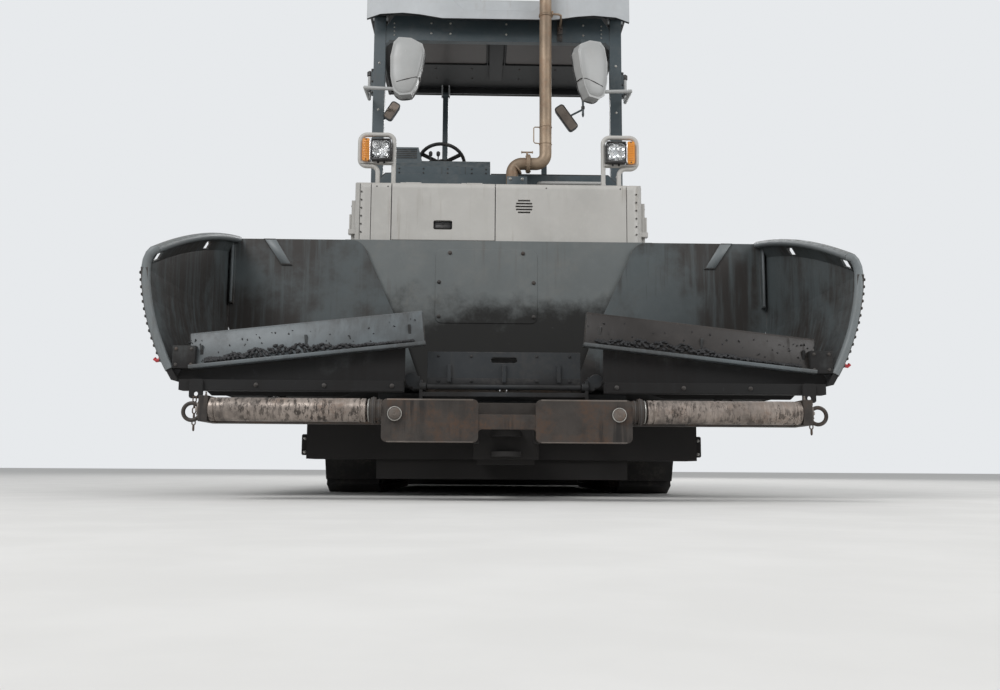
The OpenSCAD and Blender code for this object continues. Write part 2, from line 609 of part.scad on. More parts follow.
// Conveyors: two slatted chains side by side on the trough's floor
slat_pitch = 150;
slat_w = 22;
conveyor_y0 = trough_y0 + 80;
conveyor_y1 = chassis_y1 + 60;
conveyor_z0 = trough_floor_z + trough_floor_t;
conveyor_gap = 24;
module conveyors() color("#4b4643") {
  slats = floor((conveyor_y1 - conveyor_y0 - 60)/slat_pitch);
  both_sides() {
    box([conveyor_gap/2 + 3, conveyor_y0, conveyor_z0], [trough_half - 3, chassis_y1, conveyor_z0 + 12]);
    for (i = [0:slats-1])
      box([conveyor_gap/2 + 6, conveyor_y0 + 30 + i*slat_pitch, conveyor_z0 + 12],
        [trough_half - 6, conveyor_y0 + 30 + i*slat_pitch + slat_w, conveyor_z0 + 30]);
    for (x = [conveyor_gap/2 + 20, trough_half - 50])
      box([x, conveyor_y0 + 10, conveyor_z0 + 12], [x + 30, chassis_y1 - 10, conveyor_z0 + 22]);
    bar_x(conveyor_gap/2 + 3, trough_half - 3, chassis_y1 + 40, conveyor_z0 - 30, 78);
    box([conveyor_gap/2 + 3, chassis_y1, conveyor_z0 - 20],
      [trough_half - 3, chassis_y1 + 40, conveyor_z0 + 8]);
  }
  along_y(conveyor_y0, chassis_y1) polygon([[-conveyor_gap/2, conveyor_z0], [conveyor_gap/2, conveyor_z0],
    [conveyor_gap/2, conveyor_z0 + 30], [0, conveyor_z0 + 48], [-conveyor_gap/2, conveyor_z0 + 30]]);
}

// Engine as one plain block on the deck, and the closed tanks above the tracks
module engine_block() color("#55595a")
  box([-440, hood_y0 + 80, deck_z], [440, hood_y1 - 60, 1640]);
module body_tanks() color("#3b4347") {
  both_sides() {
    along_y(hood_y1, chassis_y1) rounded(420, deck_z, skirt_x, floor_z - 100, 20);
    box([skirt_x - 25, wall_y0 + wall_t, deck_z], [skirt_x, hood_y1, wide_z0]);
    for (y = [hood_y1 + 130, hood_y1 + 560])
      box([skirt_x, y, 1080], [skirt_x + 12, y + 330, 1290]);
  }
  box([-420, chassis_y1 - 30, deck_z], [420, chassis_y1, floor_z - 100]);
}

// Hood: hollow shell with a front flap, two side doors and a vented top
hood_half_w = body_half_w - door_proud;
top_edge_r = 40;
flap_x = [-674, -25];
flap_z0 = hood_bottom_z + 44;
flap_return = 70;
flap_t = 24;
door_y = [hood_y0 + 70, hood_y1 - 30];
door_z = [wide_z0 + 30, 1820];
vent_x = 160;
vent_z = 1774;
vent_r = 54;
handle_x = [-411, -292];
handle_z = [1620, 1678];
seams = [-875, -805, 809, 887];
seam_w = 4;
module hood_block() intersection() {
  along_z(wide_z0, hood_top_z) rounded(-hood_half_w, hood_y0, hood_half_w, hood_y1, hood_corner_r);
  along_x(-hood_half_w, hood_half_w) rounded(hood_y0, wide_z0 - 100, hood_y1, hood_top_z, top_edge_r);
}
module hood_shell() color("#b9b6ac") {
  hood_panels();
  flap_lugs();
  both_sides() door_lugs();
}
module hood_panels() difference() {
  hood_block();
  along_z(wide_z0 - 1, hood_top_z - hood_t)
    rounded(-hood_half_w + hood_t, hood_y0 + hood_t, hood_half_w - hood_t, hood_y1 - hood_t,
      hood_corner_r - hood_t);
  box([-body_half_w, hood_y0 - 1, wide_z0 - 1], [body_half_w, hood_y0 + hood_t + 1, hood_bottom_z]);
  box([flap_x[0] - panel_gap, hood_y0 - 1, flap_z0 - panel_gap],
    [flap_x[1] + panel_gap, hood_y0 + flap_return + panel_gap, hood_top_z + 1]);
  both_sides() box([hood_half_w - hood_t - 1, door_y[0] - panel_gap, door_z[0] - panel_gap],
    [body_half_w, door_y[1] + panel_gap, door_z[1] + panel_gap]);
  for (i = [-2:2]) let(half = sqrt(vent_r*vent_r - pow(i*19, 2)))
    box([vent_x - half, hood_y0 - 1, vent_z + i*19 - 5], [vent_x + half, hood_y0 + 14, vent_z + i*19 + 5]);
  for (x = seams)
    box([x - seam_w/2, hood_y0 - 1, hood_bottom_z - 1], [x + seam_w/2, hood_y0 + 16, hood_top_z + 1]);
  for (i = [0:8])
    box([-700 + i*60, hood_y0 + 180, hood_top_z - 12], [-670 + i*60, hood_y1 - 120, hood_top_z + 1]);
}
hinge_r = 7;
hinge_out = 7.5;
knuckle_pin_d = 6;
knuckle_l = 100;
knuckle_l0 = 30;
strap_l = 30;
flap_axis = [hood_y0 + flap_return, hood_top_z + hinge_out];
flap_knuckles = [flap_x[0] + 80, flap_x[1] - 180];
module hood_flap() color("#b9b6ac") difference() {
  union() {
    intersection() {
      hood_block();
      box([flap_x[0], hood_y0 - 1, flap_z0], [flap_x[1], hood_y0 + flap_return, hood_top_z + 1]);
    }
    for (x = flap_knuckles) {
      bar_x(x, x + knuckle_l, flap_axis[0], flap_axis[1], 2*hinge_r);
      box([x, flap_axis[0] - strap_l, hood_top_z - 1], [x + knuckle_l, flap_axis[0], flap_axis[1]]);
    }
  }
  box([flap_x[0] - 1, hood_y0 + flap_t, flap_z0 - 1], [flap_x[1] + 1, hood_y1, hood_top_z - flap_t]);
  for (x = flap_knuckles)
    bar_x(x - 1, x + 62, flap_axis[0], flap_axis[1], knuckle_pin_d + 2*pin_gap);
  along_y(hood_y0 - 1, hood_y0 + 16) rounded(handle_x[0], handle_z[0], handle_x[1], handle_z[1], 12);
}
module flap_lugs() for (x = flap_knuckles) {
  bar_x(x - 4 - knuckle_l0, x - 4, flap_axis[0], flap_axis[1], 2*hinge_r);
  box([x - 4 - knuckle_l0, flap_axis[0] + 2, hood_top_z - 1],
    [x - 4, flap_axis[0] + strap_l, flap_axis[1]]);
  bar_x(x - 5, x + 60, flap_axis[0], flap_axis[1], knuckle_pin_d);
}
door_axis = [body_half_w + hinge_out, door_y[0] + 8];
door_knuckles = [door_z[0] + 90, door_z[1] - 190];
module hood_door() difference() {
  union() {
    box([body_half_w - flap_t, door_y[0], door_z[0]], [body_half_w, door_y[1], door_z[1]]);
    for (z = door_knuckles) {
      bar_z(z, z + knuckle_l, door_axis[0], door_axis[1], 2*hinge_r);
      box([body_half_w, door_axis[1], z], [door_axis[0], door_axis[1] + hinge_r + 14, z + knuckle_l]);
    }
  }
  for (z = door_knuckles)
    bar_z(z - 1, z + 62, door_axis[0], door_axis[1], knuckle_pin_d + 2*pin_gap);
  for (i = [0:9])
    box([body_half_w - 8, door_y[0] + 90, door_z[0] + 100 + i*44],
      [body_half_w + 1, door_y[1] - 90, door_z[0] + 122 + i*44]);
  box([body_half_w - 10, door_y[1] - 60, 1620], [body_half_w + 1, door_y[1] - 25, 1740]);
}
module door_lugs() for (z = door_knuckles) {
  bar_z(z - 4 - knuckle_l0, z - 4, door_axis[0], door_axis[1], 2*hinge_r);
  z0 = z - 4 - knuckle_l0;
  box([body_half_w + 0.5, door_y[0] - 30, z0], [door_axis[0] + hinge_r, door_axis[1], z - 4]);
  box([hood_half_w - 12, door_y[0] - 30, z0], [body_half_w + 0.5, door_y[0] - panel_gap - 1, z - 4]);
  bar_z(z - 5, z + 60, door_axis[0], door_axis[1], knuckle_pin_d);
}
module hood_door_left() color("#b9b6ac") mirror([1, 0, 0]) hood_door();
module hood_door_right() color("#b9b6ac") hood_door();

// Lamps in their bent tube guards, on the hood's front corners
lamp_y = hood_y0 + 140;
guard_d = 30;
guard_x = [680, 782, 899];
guard_z = [2070, 2280];
guard_r = 45;
lamp_x = [696, 824];
lamp_z = [2095, 2240];
indicator_x = [834, 881];
module quarter_ring(x, z, a) translate([x, 0, z]) rotate([90, 0, 0]) rotate([0, 0, a])
  rotate_extrude(angle=90) translate([guard_r, 0]) circle(d=guard_d);
module lamp_guards() color("#8d8f8c") both_sides() {
  translate([0, lamp_y, 0]) {
    bar_z(hood_top_z, guard_z[0] - guard_r, guard_x[1], 0, guard_d);
    quarter_ring(guard_x[1] + guard_r, guard_z[0] - guard_r, 90);
    bar_x(guard_x[1] + guard_r, guard_x[2] - guard_r, 0, guard_z[0], guard_d);
    quarter_ring(guard_x[2] - guard_r, guard_z[0] + guard_r, 270);
    bar_z(guard_z[0] + guard_r, guard_z[1] - guard_r, guard_x[2], 0, guard_d);
    quarter_ring(guard_x[2] - guard_r, guard_z[1] - guard_r, 0);
    bar_x(guard_x[0] + guard_r, guard_x[2] - guard_r, 0, guard_z[1], guard_d);
    quarter_ring(guard_x[0] + guard_r, guard_z[1] - guard_r, 90);
    bar_z(hood_top_z, guard_z[1] - guard_r, guard_x[0], 0, guard_d);
    for (x = [guard_x[0], guard_x[1]]) bar_z(hood_top_z, hood_top_z + 8, x, 0, 2*guard_d);
  }
  box([guard_x[0] + 4, lamp_y - 20, lamp_z[0] - 12], [guard_x[2] - 4, lamp_y + 20, lamp_z[0]]);
}
module headlamps() color("#1b1c1d") both_sides() difference() {
  along_y(lamp_y - 50, lamp_y + 50) rounded(lamp_x[0], lamp_z[0], lamp_x[1], lamp_z[1], 14);
  along_y(lamp_y - 51, lamp_y - 34)
    rounded(lamp_x[0] + 7, lamp_z[0] + 14, lamp_x[1] - 7, lamp_z[1] - 10, 10);
}
module indicators() color("#e08a1e") both_sides()
  along_y(lamp_y - 40, lamp_y + 40) rounded(indicator_x[0], lamp_z[0], indicator_x[1], lamp_z[1] + 4, 12);

// Exhaust: elbow out of the hood, flange, and the stack that swivels on it
flange_x = 210;
stack_joint_z = 3293;
flange_d = 130;
flange_t = 12;
elbow_r = 70;
module pipe_elbow(r, d) rotate_extrude(angle=90) translate([r, 0]) circle(d=d);
module exhaust_elbow() color("#7c6a55") {
  bar_z(hood_top_z, stack_z - elbow_r, 100, stack_y, stack_d);
  translate([100 + elbow_r, stack_y, stack_z - elbow_r]) rotate([90, 0, 0]) rotate([0, 0, 90])
    pipe_elbow(elbow_r, stack_d);
  bar_x(100 + elbow_r, flange_x - flange_t, stack_y, stack_z, stack_d);
  bar_x(flange_x - flange_t, flange_x, stack_y, stack_z, flange_d);
  box([50, stack_y - 50, hood_top_z], [150, stack_y + 46, hood_top_z + 6]);
}
module exhaust_stack() color("#8a7660") {
  bar_x(flange_x + 0.3, flange_x + flange_t, stack_y, stack_z, flange_d);
  bar_x(flange_x + flange_t, stack_x - elbow_r, stack_y, stack_z, stack_d);
  translate([stack_x - elbow_r, stack_y, stack_z + elbow_r]) rotate([90, 0, 0]) rotate([0, 0, 270])
    pipe_elbow(elbow_r, stack_d);
  difference() {
    bar_z(stack_z + elbow_r, stack_top_z, stack_x, stack_y, stack_d);
    bar_z(stack_top_z - 120, stack_top_z + 1, stack_x, stack_y, stack_d - 8);
  }
  bar_z(stack_joint_z, stack_joint_z + 10, stack_x, stack_y, stack_d + 6);
}

// Platform floor on its cross beams, with the step at the rear
module platform() color("#30383c") {
  box([-body_half_w, hood_y1, floor_z - 30], [body_half_w, platform_y1, floor_z]);
  for (s = [-1, 1]) box([s > 0 ? body_half_w - 25 : -body_half_w, hood_y1, floor_z - 100],
    [s > 0 ? body_half_w : -body_half_w + 25, platform_y1, floor_z - 30]);
  for (y = [hood_y1, hood_y1 + 560, platform_y1 - 30])
    box([-body_half_w + 25, y, floor_z - 100], [body_half_w - 25, y + 30, floor_z - 30]);
  both_sides() {
    for (x = [230, 480]) box([x, platform_y1, 1080], [x + 20, platform_y1 + 12, floor_z]);
    box([230, platform_y1 - 140, 1080], [500, platform_y1, 1100]);
    along_z(floor_z, floor_z + 250)
      translate([body_half_w - 40, hood_y1 + 330]) square([20, 1000]);
    bar_y(hood_y1 + 331, hood_y1 + 1329, body_half_w - 30, floor_z + 262, 26);
    for (x = [lift_x - 35, lift_x + 23]) along_x(x, x + 12) {
      translate(lift_root) circle(r=36);
      translate([lift_root[0] - 36, lift_root[1]]) square([72, floor_z - 30 - lift_root[1]]);
    }
    bar_x(lift_x - 23, lift_x + 23, lift_root[0], lift_root[1], eye_pin_d);
  }
}

// Bulkhead behind the hood, with the posts' lower brackets and the coaming
bracket_x = [post_outer_x - front_post_w - 16, post_outer_x + 16];
pivot_pin_d = 30;
module bulkhead() color("#39454b") {
  along_y(hood_y1 + 60, hood_y1 + 100)
    polygon([[-skirt_x, floor_z], [skirt_x, floor_z], [skirt_x, bulkhead_z - 60],
      [skirt_x - 60, bulkhead_z], [-skirt_x + 60, bulkhead_z], [-skirt_x, bulkhead_z - 60]]);
  box([-skirt_x + 40, hood_y1 + 10, bulkhead_z - 220], [skirt_x - 40, hood_y1 + 60, bulkhead_z - 180]);
  both_sides() {
    box([bracket_x[0] + 20, front_post_y - 40, floor_z],
      [bracket_x[1] - 20, front_post_y + 40, post_pivot_z - 90]);
    for (x = [bracket_x[0], bracket_x[1] - 11]) along_x(x, x + 11) {
      translate([front_post_y, post_pivot_z]) circle(r=40);
      translate([front_post_y - 40, post_pivot_z - 150]) square([80, 150]);
    }
    box([bracket_x[0] + 11, front_post_y - 40, post_pivot_z - 150],
      [bracket_x[1] - 11, front_post_y + 40, post_pivot_z - 90]);
    bar_x(bracket_x[0] + 11, bracket_x[1] - 11, front_post_y, post_pivot_z, pivot_pin_d);
  }
}

// Steering console on the left, with its wheel
console_x = [-730, -50];
console_y0 = hood_y1 + 100;
wheel_c = [-410, console_y0 + 400, console_z + 95];
column_a = 50;
module console() color("#313c42") {
  along_x(console_x[0], console_x[1]) polygon([[console_y0, floor_z], [console_y0, console_z - 60],
    [console_y0 + 60, console_z], [console_y0 + 300, console_z - 20],
    [console_y0 + 320, console_z - 80], [console_y0 + 190, floor_z + 350], [console_y0 + 170, floor_z]]);
  along_y(console_y0 + 40, console_y0 + 260) polygon([[console_x[0], console_z - 60],
    [console_x[0], console_z + 93], [-560, console_z + 93], [-535, console_z], [-535, console_z - 60]]);
  translate(wheel_c) rotate([column_a - 90, 0, 0]) translate([0, 0, -180]) cylinder(d=44, h=150);
}
module steering_wheel() color("#161718") translate(wheel_c) rotate([column_a - 90, 0, 0]) {
  translate([0, 0, -10]) rotate_extrude() translate([wheel_r, 0]) circle(d=26);
  translate([0, 0, -29.7]) cylinder(d=70, h=30);
  for (a = [90, 210, 330]) rotate([0, 0, a]) translate([20, -14, -16]) cube([wheel_r - 22, 28, 10]);
}

// Two seats on pedestals
seat_x = 560;
seat_y = hood_y1 + 900;
seat_z = floor_z + 450;
seat_top_z = seat_z + 500;
seat_arm_x = 245;
module seat_frames() color("#23282b") for (x = [-seat_x, seat_x]) {
  box([x - 130, seat_y + 60, floor_z], [x + 130, seat_y + 400, seat_z - 90]);
  box([x - 210, seat_y + 10, seat_z - 90], [x + 210, seat_y + 480, seat_z - 60]);
  box([x - 190, seat_y + 480, seat_z - 90], [x + 190, seat_y + 500, seat_top_z - 70]);
  for (s = [-1, 1]) {
    arm = x + s*seat_arm_x;
    box([arm - 25, seat_y + 150, seat_z + 150], [arm + 25, seat_y + 480, seat_z + 190]);
    box([arm - 25, seat_y + 480, seat_z + 40], [arm + 25, seat_y + 500, seat_z + 190]);
    box([x + (s > 0 ? 190 : -220), seat_y + 484, seat_z + 60],
      [x + (s > 0 ? 220 : -190), seat_y + 500, seat_z + 100]);
  }
}
module seat_cushions() color("#1d1e20") for (x = [-seat_x, seat_x]) {
  along_z(seat_z - 60, seat_z + 40) translate([x, 0]) rounded(-215, seat_y, 215, seat_y + 420, 50);
  along_y(seat_y + 400, seat_y + 480) translate([x, 0]) rounded(-205, seat_z + 41, 205, seat_top_z, 60);
}

// Rear frame that carries the rear posts, with a rail across
rail_d = 34;
rail_x = body_half_w - 40;
rail_z = floor_z + 510;
module rear_frame() color("#39454b") {
  both_sides() {
    box([rear_post_x - 35, rear_post_y - 30, floor_z],
      [rear_post_x + 35, rear_post_y + 30, post_pivot_z - 90]);
    for (x = [rear_post_x - 39, rear_post_x + 28]) along_x(x, x + 11) {
      translate([rear_post_y, post_pivot_z]) circle(r=30);
      translate([rear_post_y - 30, post_pivot_z - 110]) square([60, 110]);
    }
    bar_x(rear_post_x - 28, rear_post_x + 28, rear_post_y, post_pivot_z, pivot_pin_d);
    rod([rear_post_x + 20, rear_post_y, rail_z], [rail_x, rear_post_y, rail_z], rail_d);
    bar_z(floor_z, rail_z + rail_d/2, rail_x, rear_post_y, rail_d);
  }
  bar_x(-rear_post_x, rear_post_x, rear_post_y, rail_z, rail_d);
}

// Canopy: front post frame with the cross beam, rear posts and roof, a parallelogram
beam_z = [3206, 3395];
module canopy_frame() color("#39454b") {
  both_sides() difference() {
    union() {
      box([post_inner_x, front_post_y - 30, post_pivot_z], [post_outer_x, front_post_y + 30, top_pivot_z]);
      for (z = [post_pivot_z, top_pivot_z]) bar_x(post_inner_x, post_outer_x, front_post_y, z, 60);
      box([post_outer_x, front_post_y - 20, mirror_c[1] - 76],
        [post_outer_x + arm_bracket_t, front_post_y + 20, mirror_c[1] + 114]);
    }
    for (z = [post_pivot_z, top_pivot_z])
      bar_x(post_inner_x - 1, post_outer_x + 1, front_post_y, z, pivot_pin_d + 2*pin_gap);
  }
  along_y(front_post_y - 25, front_post_y + 25) {
    box2([-post_inner_x + 60, beam_z[0]], [post_inner_x - 60, beam_z[1]]);
    both_sides() polygon([[post_inner_x - 61, beam_z[0]], [post_inner_x - 30, beam_z[0]],
      [post_inner_x, beam_z[0] - 30], [post_inner_x, beam_z[1] - 90], [post_inner_x - 61, beam_z[1]]]);
  }
  // Hanging rod with a small mirror on the right, and a small mirror beside the left post
  rod_at = [post_inner_x - 201, small_mirror_y];
  bar_z(mirror_c[1] - 236, beam_z[0], rod_at[0], rod_at[1], 16);
  box([rod_at[0] - 15, rod_at[1] - 12, beam_z[0] - 26],
    [rod_at[0] + 15, front_post_y - 5, beam_z[0] + 4]);
  rod([rod_at[0], rod_at[1], mirror_c[1] - 186], [rod_at[0] - 92, rod_at[1], mirror_c[1] - 236], 14);
  translate([rod_at[0] - 121, rod_at[1], mirror_c[1] - 255]) rotate([0, -35, 0])
    along_y(-16, 16) rounded(-34, -100, 34, 100, 18);
  rod([-post_inner_x - 5, front_post_y, mirror_c[1] - 256],
    [-post_inner_x + 49, small_mirror_y, mirror_c[1] - 246], 14);
  translate([-post_inner_x + 59, small_mirror_y, mirror_c[1] - 221]) rotate([0, 32, 0])
    along_y(-16, 16) rounded(-32, -66, 32, 66, 18);
}
post_inner_x = post_outer_x - front_post_w;
small_mirror_y = front_post_y - 60;
arm_bracket_t = 16;

// Large mirrors: housings that lean inwards, each on a bent tube beside its post
mirror_y = front_post_y - 290;
mirror_c = [post_outer_x - 270, post_pivot_z + 776];
mirror_depth = [-60, 40];
mirror_turn = [0, 24];
mirror_arm_d = 25;
mirror_arm_x = post_outer_x + arm_bracket_t + 0.3 + mirror_arm_d/2;
mirror_outline = [[64, 205], [-21, 200], [-100, 158], [-116, 110], [-99, 0], [-64, -135], [-30, -205],
  [50, -213], [92, -182], [116, -78], [119, 64], [98, 168]];
module mirror_head() along_y(mirror_depth[0], mirror_depth[1]) polygon(mirror_outline);
module mirrors() color("#a9aaa6") for (s = [-1, 1]) mirror([s < 0 ? 1 : 0, 0, 0]) {
  turn = s > 0 ? mirror_turn[1] : mirror_turn[0];
  translate([mirror_c[0], mirror_y, mirror_c[1]]) rotate([0, 0, turn]) mirror_head();
  corner = [mirror_arm_x, mirror_y + 30, mirror_c[1] - 126];
  foot = [mirror_arm_x, front_post_y, mirror_c[1] - 106];
  rod([mirror_c[0] + 80, mirror_y, mirror_c[1] - 146], corner, mirror_arm_d);
  rod(corner, foot, mirror_arm_d);
  rod(foot, foot + [0, 0, 200], mirror_arm_d);
  for (p = [corner, foot]) translate(p) sphere(d=mirror_arm_d + 0.5);
}
module rear_posts() color("#39454b") both_sides() difference() {
  union() {
    box([rear_post_x - 23, rear_post_y - 20, post_pivot_z],
      [rear_post_x + 23, rear_post_y + 20, top_pivot_z]);
    for (z = [post_pivot_z, top_pivot_z]) bar_x(rear_post_x - 23, rear_post_x + 23, rear_post_y, z, 54);
  }
  for (z = [post_pivot_z, top_pivot_z])
    bar_x(rear_post_x - 24, rear_post_x + 24, rear_post_y, z, pivot_pin_d + 2*pin_gap);
}
roof_y0 = front_post_y - 170;
roof_y1 = roof_y0 + roof_l;
roof_top = roof_z + roof_h;
roof_w = body_half_w;
roof_side_t = 24;
fascia_t = 24;
function roof_side(t) = bezier([roof_w - t, roof_z + 130],
  [roof_w - 30 - t, roof_top - 30 - t], [roof_w - 200, roof_top - t], 8);
function left_of(v) = [for (p = v) [-p[0], p[1]]];
module roof_outline(t, low) polygon(concat([[-roof_w + t, low]], left_of(roof_side(t)),
  reversed(roof_side(t)), [[roof_w - t, low]]));
fascia_z = roof_z - fascia_drop;
fascia_edge = [[-roof_w, fascia_z - 12], [-roof_w + 95, fascia_z + 24], [-roof_w + 255, fascia_z + 36],
  [-roof_w + 375, fascia_z + 26], [-roof_w + 535, fascia_z]];
module fascia_outline() intersection() {
  roof_outline(0, fascia_z - 60);
  polygon(concat(fascia_edge, reversed(left_of(fascia_edge)), [[roof_w, roof_top], [-roof_w, roof_top]]));
}
module roof() color("#c9c9c5") {
  difference() {
    union() {
      along_y(roof_y0 + fascia_t, roof_y1) roof_outline(0, roof_z);
      along_y(roof_y0, roof_y0 + fascia_t) fascia_outline();
    }
    along_y(roof_y0 + fascia_t, roof_y1 - 45)
      box2([-roof_w + roof_side_t, roof_z - 10], [roof_w - roof_side_t, roof_z + 60]);
    along_y(roof_y0 + 45, roof_y1 - 130) intersection() {
      roof_outline(35, roof_z);
      box2([-roof_w, roof_z + 80], [roof_w, roof_top - 60]);
    }
    intersection() {
      along_y(roof_y0 - 1, roof_y0 + 430)
        polygon([[-250, roof_z - 25], [250, roof_z - 25], [560, roof_top + 1], [-560, roof_top + 1]]);
      along_x(-700, 700) polygon([[roof_y0 - 1, roof_z - 25], [roof_y0 + 6, roof_z - 25],
        [roof_y0 + fascia_t, roof_z + 62], [roof_y0 + 420, roof_top + 1], [roof_y0 - 1, roof_top + 1]]);
    }
    // Rear edge chamfer
    along_x(-roof_w - 1, roof_w + 1)
      polygon([[roof_y1 - 160, roof_top + 1], [roof_y1 + 1, roof_top + 1], [roof_y1 + 1, roof_z + 130]]);
  }
  // Pivot brackets under the roof
  both_sides() {
    for (x = [post_inner_x - 12, post_outer_x + 1]) along_x(x, x + 11) {
      translate([front_post_y, top_pivot_z]) circle(r=28);
      translate([front_post_y - 5, top_pivot_z]) square([33, roof_z + 61 - top_pivot_z]);
    }
    bar_x(post_inner_x - 2, post_outer_x + 2, front_post_y, top_pivot_z, pivot_pin_d);
    for (x = [rear_post_x - 36, rear_post_x + 25]) along_x(x, x + 11) {
      translate([rear_post_y, top_pivot_z]) circle(r=26);
      translate([rear_post_y - 26, top_pivot_z]) square([52, roof_z + 61 - top_pivot_z]);
    }
    bar_x(rear_post_x - 26, rear_post_x + 26, rear_post_y, top_pivot_z, pivot_pin_d);
  }
}
module roof_liner() color("#4a3222") both_sides()
  along_z(roof_z + 46, roof_z + 60) rounded(80, roof_y0 + 340, 700, roof_y0 + 1090, 30);

// Auger frame behind the tracks, and the two augers
auger_shaft_d = 70;
auger_half_l = 800;
auger_box = 60;
auger_stub_d = 40;
module auger_frame() color("#2a2e30") {
  box([-auger_half_l - 20, chassis_y1, 860], [auger_half_l + 20, chassis_y1 + 90, 940]);
  box([-conveyor_gap/2, chassis_y1 + 60, auger_z + 80], [conveyor_gap/2, auger_y + 60, 860]);
  bar_x(-auger_box, auger_box, auger_y, auger_z, 190);
  bar_x(-auger_box - 30, auger_box + 30, auger_y, auger_z, auger_stub_d);
  both_sides() difference() {
    union() {
      along_x(auger_half_l - 5, auger_half_l + 20) polygon([[chassis_y1 + 10, 860], [chassis_y1 + 90, 860],
        [auger_y + 50, auger_z + 30], [auger_y + 50, auger_z - 30], [auger_y - 50, auger_z - 30],
        [auger_y - 50, auger_z + 30]]);
      bar_x(auger_half_l - 5, auger_half_l + 20, auger_y, auger_z, 100);
    }
    bar_x(auger_half_l - 6, auger_half_l + 21, auger_y, auger_z, auger_stub_d + 2*pin_gap);
  }
  both_sides() box([370, chassis_y1, deck_z], [420, chassis_y1 + 60, 860]);
}
flight_t = 14;
module flight(l) {
  steps = ceil(l/auger_pitch*24);
  ring = [[auger_shaft_d/2 - 8, -flight_t/2], [auger_r, -flight_t/2],
    [auger_r, flight_t/2], [auger_shaft_d/2 - 8, flight_t/2]];
  pts = [for (i = [0:steps]) let(a = i/24*360, h = i/24*auger_pitch)
    for (p = ring) [p[0]*cos(a), p[0]*sin(a), h + p[1]]];
  faces = concat([[3, 2, 1, 0]],
    [for (i = [0:steps-1], j = [0:3]) let(k = (j+1)%4)
      for (f = [[i*4+j, i*4+k, (i+1)*4+k], [i*4+j, (i+1)*4+k, (i+1)*4+j]]) f],
    [[steps*4, steps*4+1, steps*4+2, steps*4+3]]);
  polyhedron(pts, faces, convexity=10);
}
module auger() translate([auger_box + 6, auger_y, auger_z]) rotate([0, 90, 0]) difference() {
  union() {
    cylinder(d=auger_shaft_d, h=auger_half_l - auger_box - 18);
    cylinder(d=auger_stub_d, h=auger_half_l - auger_box + 12);
    translate([0, 0, 20]) flight(auger_half_l - auger_box - 70);
  }
  translate([0, 0, -1]) cylinder(d=auger_stub_d + 2*pin_gap, h=30);
}
module auger_left() color("#5a5550") mirror([1, 0, 0]) auger();
module auger_right() color("#5a5550") auger();

// Levelling sliders that carry the tow arms' pins in guides on the body's side
tow_y = hood_y0 - 10;
arm_x = [860, 905];
tow_pin_d = 60;
slider_half_l = 45;
level_x = 862;
level_rod_d = 20;
module tow_sliders() color("#55595a") both_sides() {
  box([skirt_x + 0.3, tow_y - slider_half_l, tow_z - 60],
    [skirt_x + 15, tow_y + slider_half_l, tow_z + 130]);
  box([skirt_x + 0.3, tow_y - 20, tow_z + 105], [level_x + 14, tow_y + 20, tow_z + 130]);
  bar_x(skirt_x + 15, arm_x[1] + 12, tow_y, tow_z, tow_pin_d);
  bar_z(tow_z + 130, tow_z + 300, level_x, tow_y, level_rod_d);
}

// Tow arms: a plate beam on each side that turns down behind the track to the screed
arm_drop_y = track_y1 + 60;
module tow_arms() color("#3b4347") both_sides() difference() {
  union() {
    along_x(arm_x[0], arm_x[1]) {
      translate([tow_y, tow_z]) circle(r=arm_h/2);
      polygon([[tow_y, tow_z - arm_h/2], [tow_y, tow_z + arm_h/2], [arm_drop_y, tow_z + arm_h/2],
        [screed_y0 + 160, 560], [screed_y0 + 240, 420], [screed_y0 + 240, 401], [screed_y0 + 20, 401],
        [screed_y0 - 60, 480], [arm_drop_y - 60, tow_z - arm_h/2]]);
    }
  }
  bar_x(arm_x[0] - 1, arm_x[1] + 1, tow_y, tow_z, tow_pin_d + 2*pin_gap);
}

// Basic screed: base plate, body, guide sleeves and the lugs for the lift cylinders
lift_x = 760;
lift_eye = [screed_y0 + 160, 500];
lift_root = [screed_y0 - 120, 1345];
sleeve_z = 430;
sleeve_d = 110;
sleeve_ys = [ext_y0 + 85, ext_y0 + 215];
guide_d = 84;
screed_top_z = 400;
module screed_main() color("#41484a") {
  along_x(-screed_half_w, screed_half_w) polygon([[screed_y0 + 40, 0], [screed_y0, 40], [screed_y0, 330],
    [screed_y0 + 60, screed_top_z], [screed_y0 + 290, screed_top_z], [screed_y1, 340], [screed_y1, 0]]);
  both_sides() {
    box([arm_x[0], screed_y0 + 62, 400], [screed_half_w, screed_y0 + 230, 401]);
    for (x = [lift_x + 24, lift_x - 40]) along_x(x, x + 16) difference() {
      polygon([[lift_eye[0] - 70, screed_top_z], [lift_eye[0] - 40, lift_eye[1] + 40],
        [lift_eye[0] + 40, lift_eye[1] + 40], [lift_eye[0] + 70, screed_top_z]]);
      translate(lift_eye) circle(r=16);
    }
  }
  // Sleeve of the right extension at the rear, of the left one nearer the machine
  for (s = [[-1, 0], [1, 1]]) difference() {
    union() {
      bar_x(s[0]*210 - 190, s[0]*210 + 190, sleeve_ys[s[1]], sleeve_z, sleeve_d);
      for (x = [60, 340]) {
        box([s[0]*x - 15, screed_y0 + 250, screed_top_z], [s[0]*x + 15, screed_y0 + 280, sleeve_z + 70]);
        box([s[0]*x - 15, screed_y0 + 250, sleeve_z + 48], [s[0]*x + 15, sleeve_ys[s[1]], sleeve_z + 70]);
      }
    }
    bar_x(s[0]*210 - 191, s[0]*210 + 191, sleeve_ys[s[1]], sleeve_z, guide_d + 2*pin_gap);
  }
}

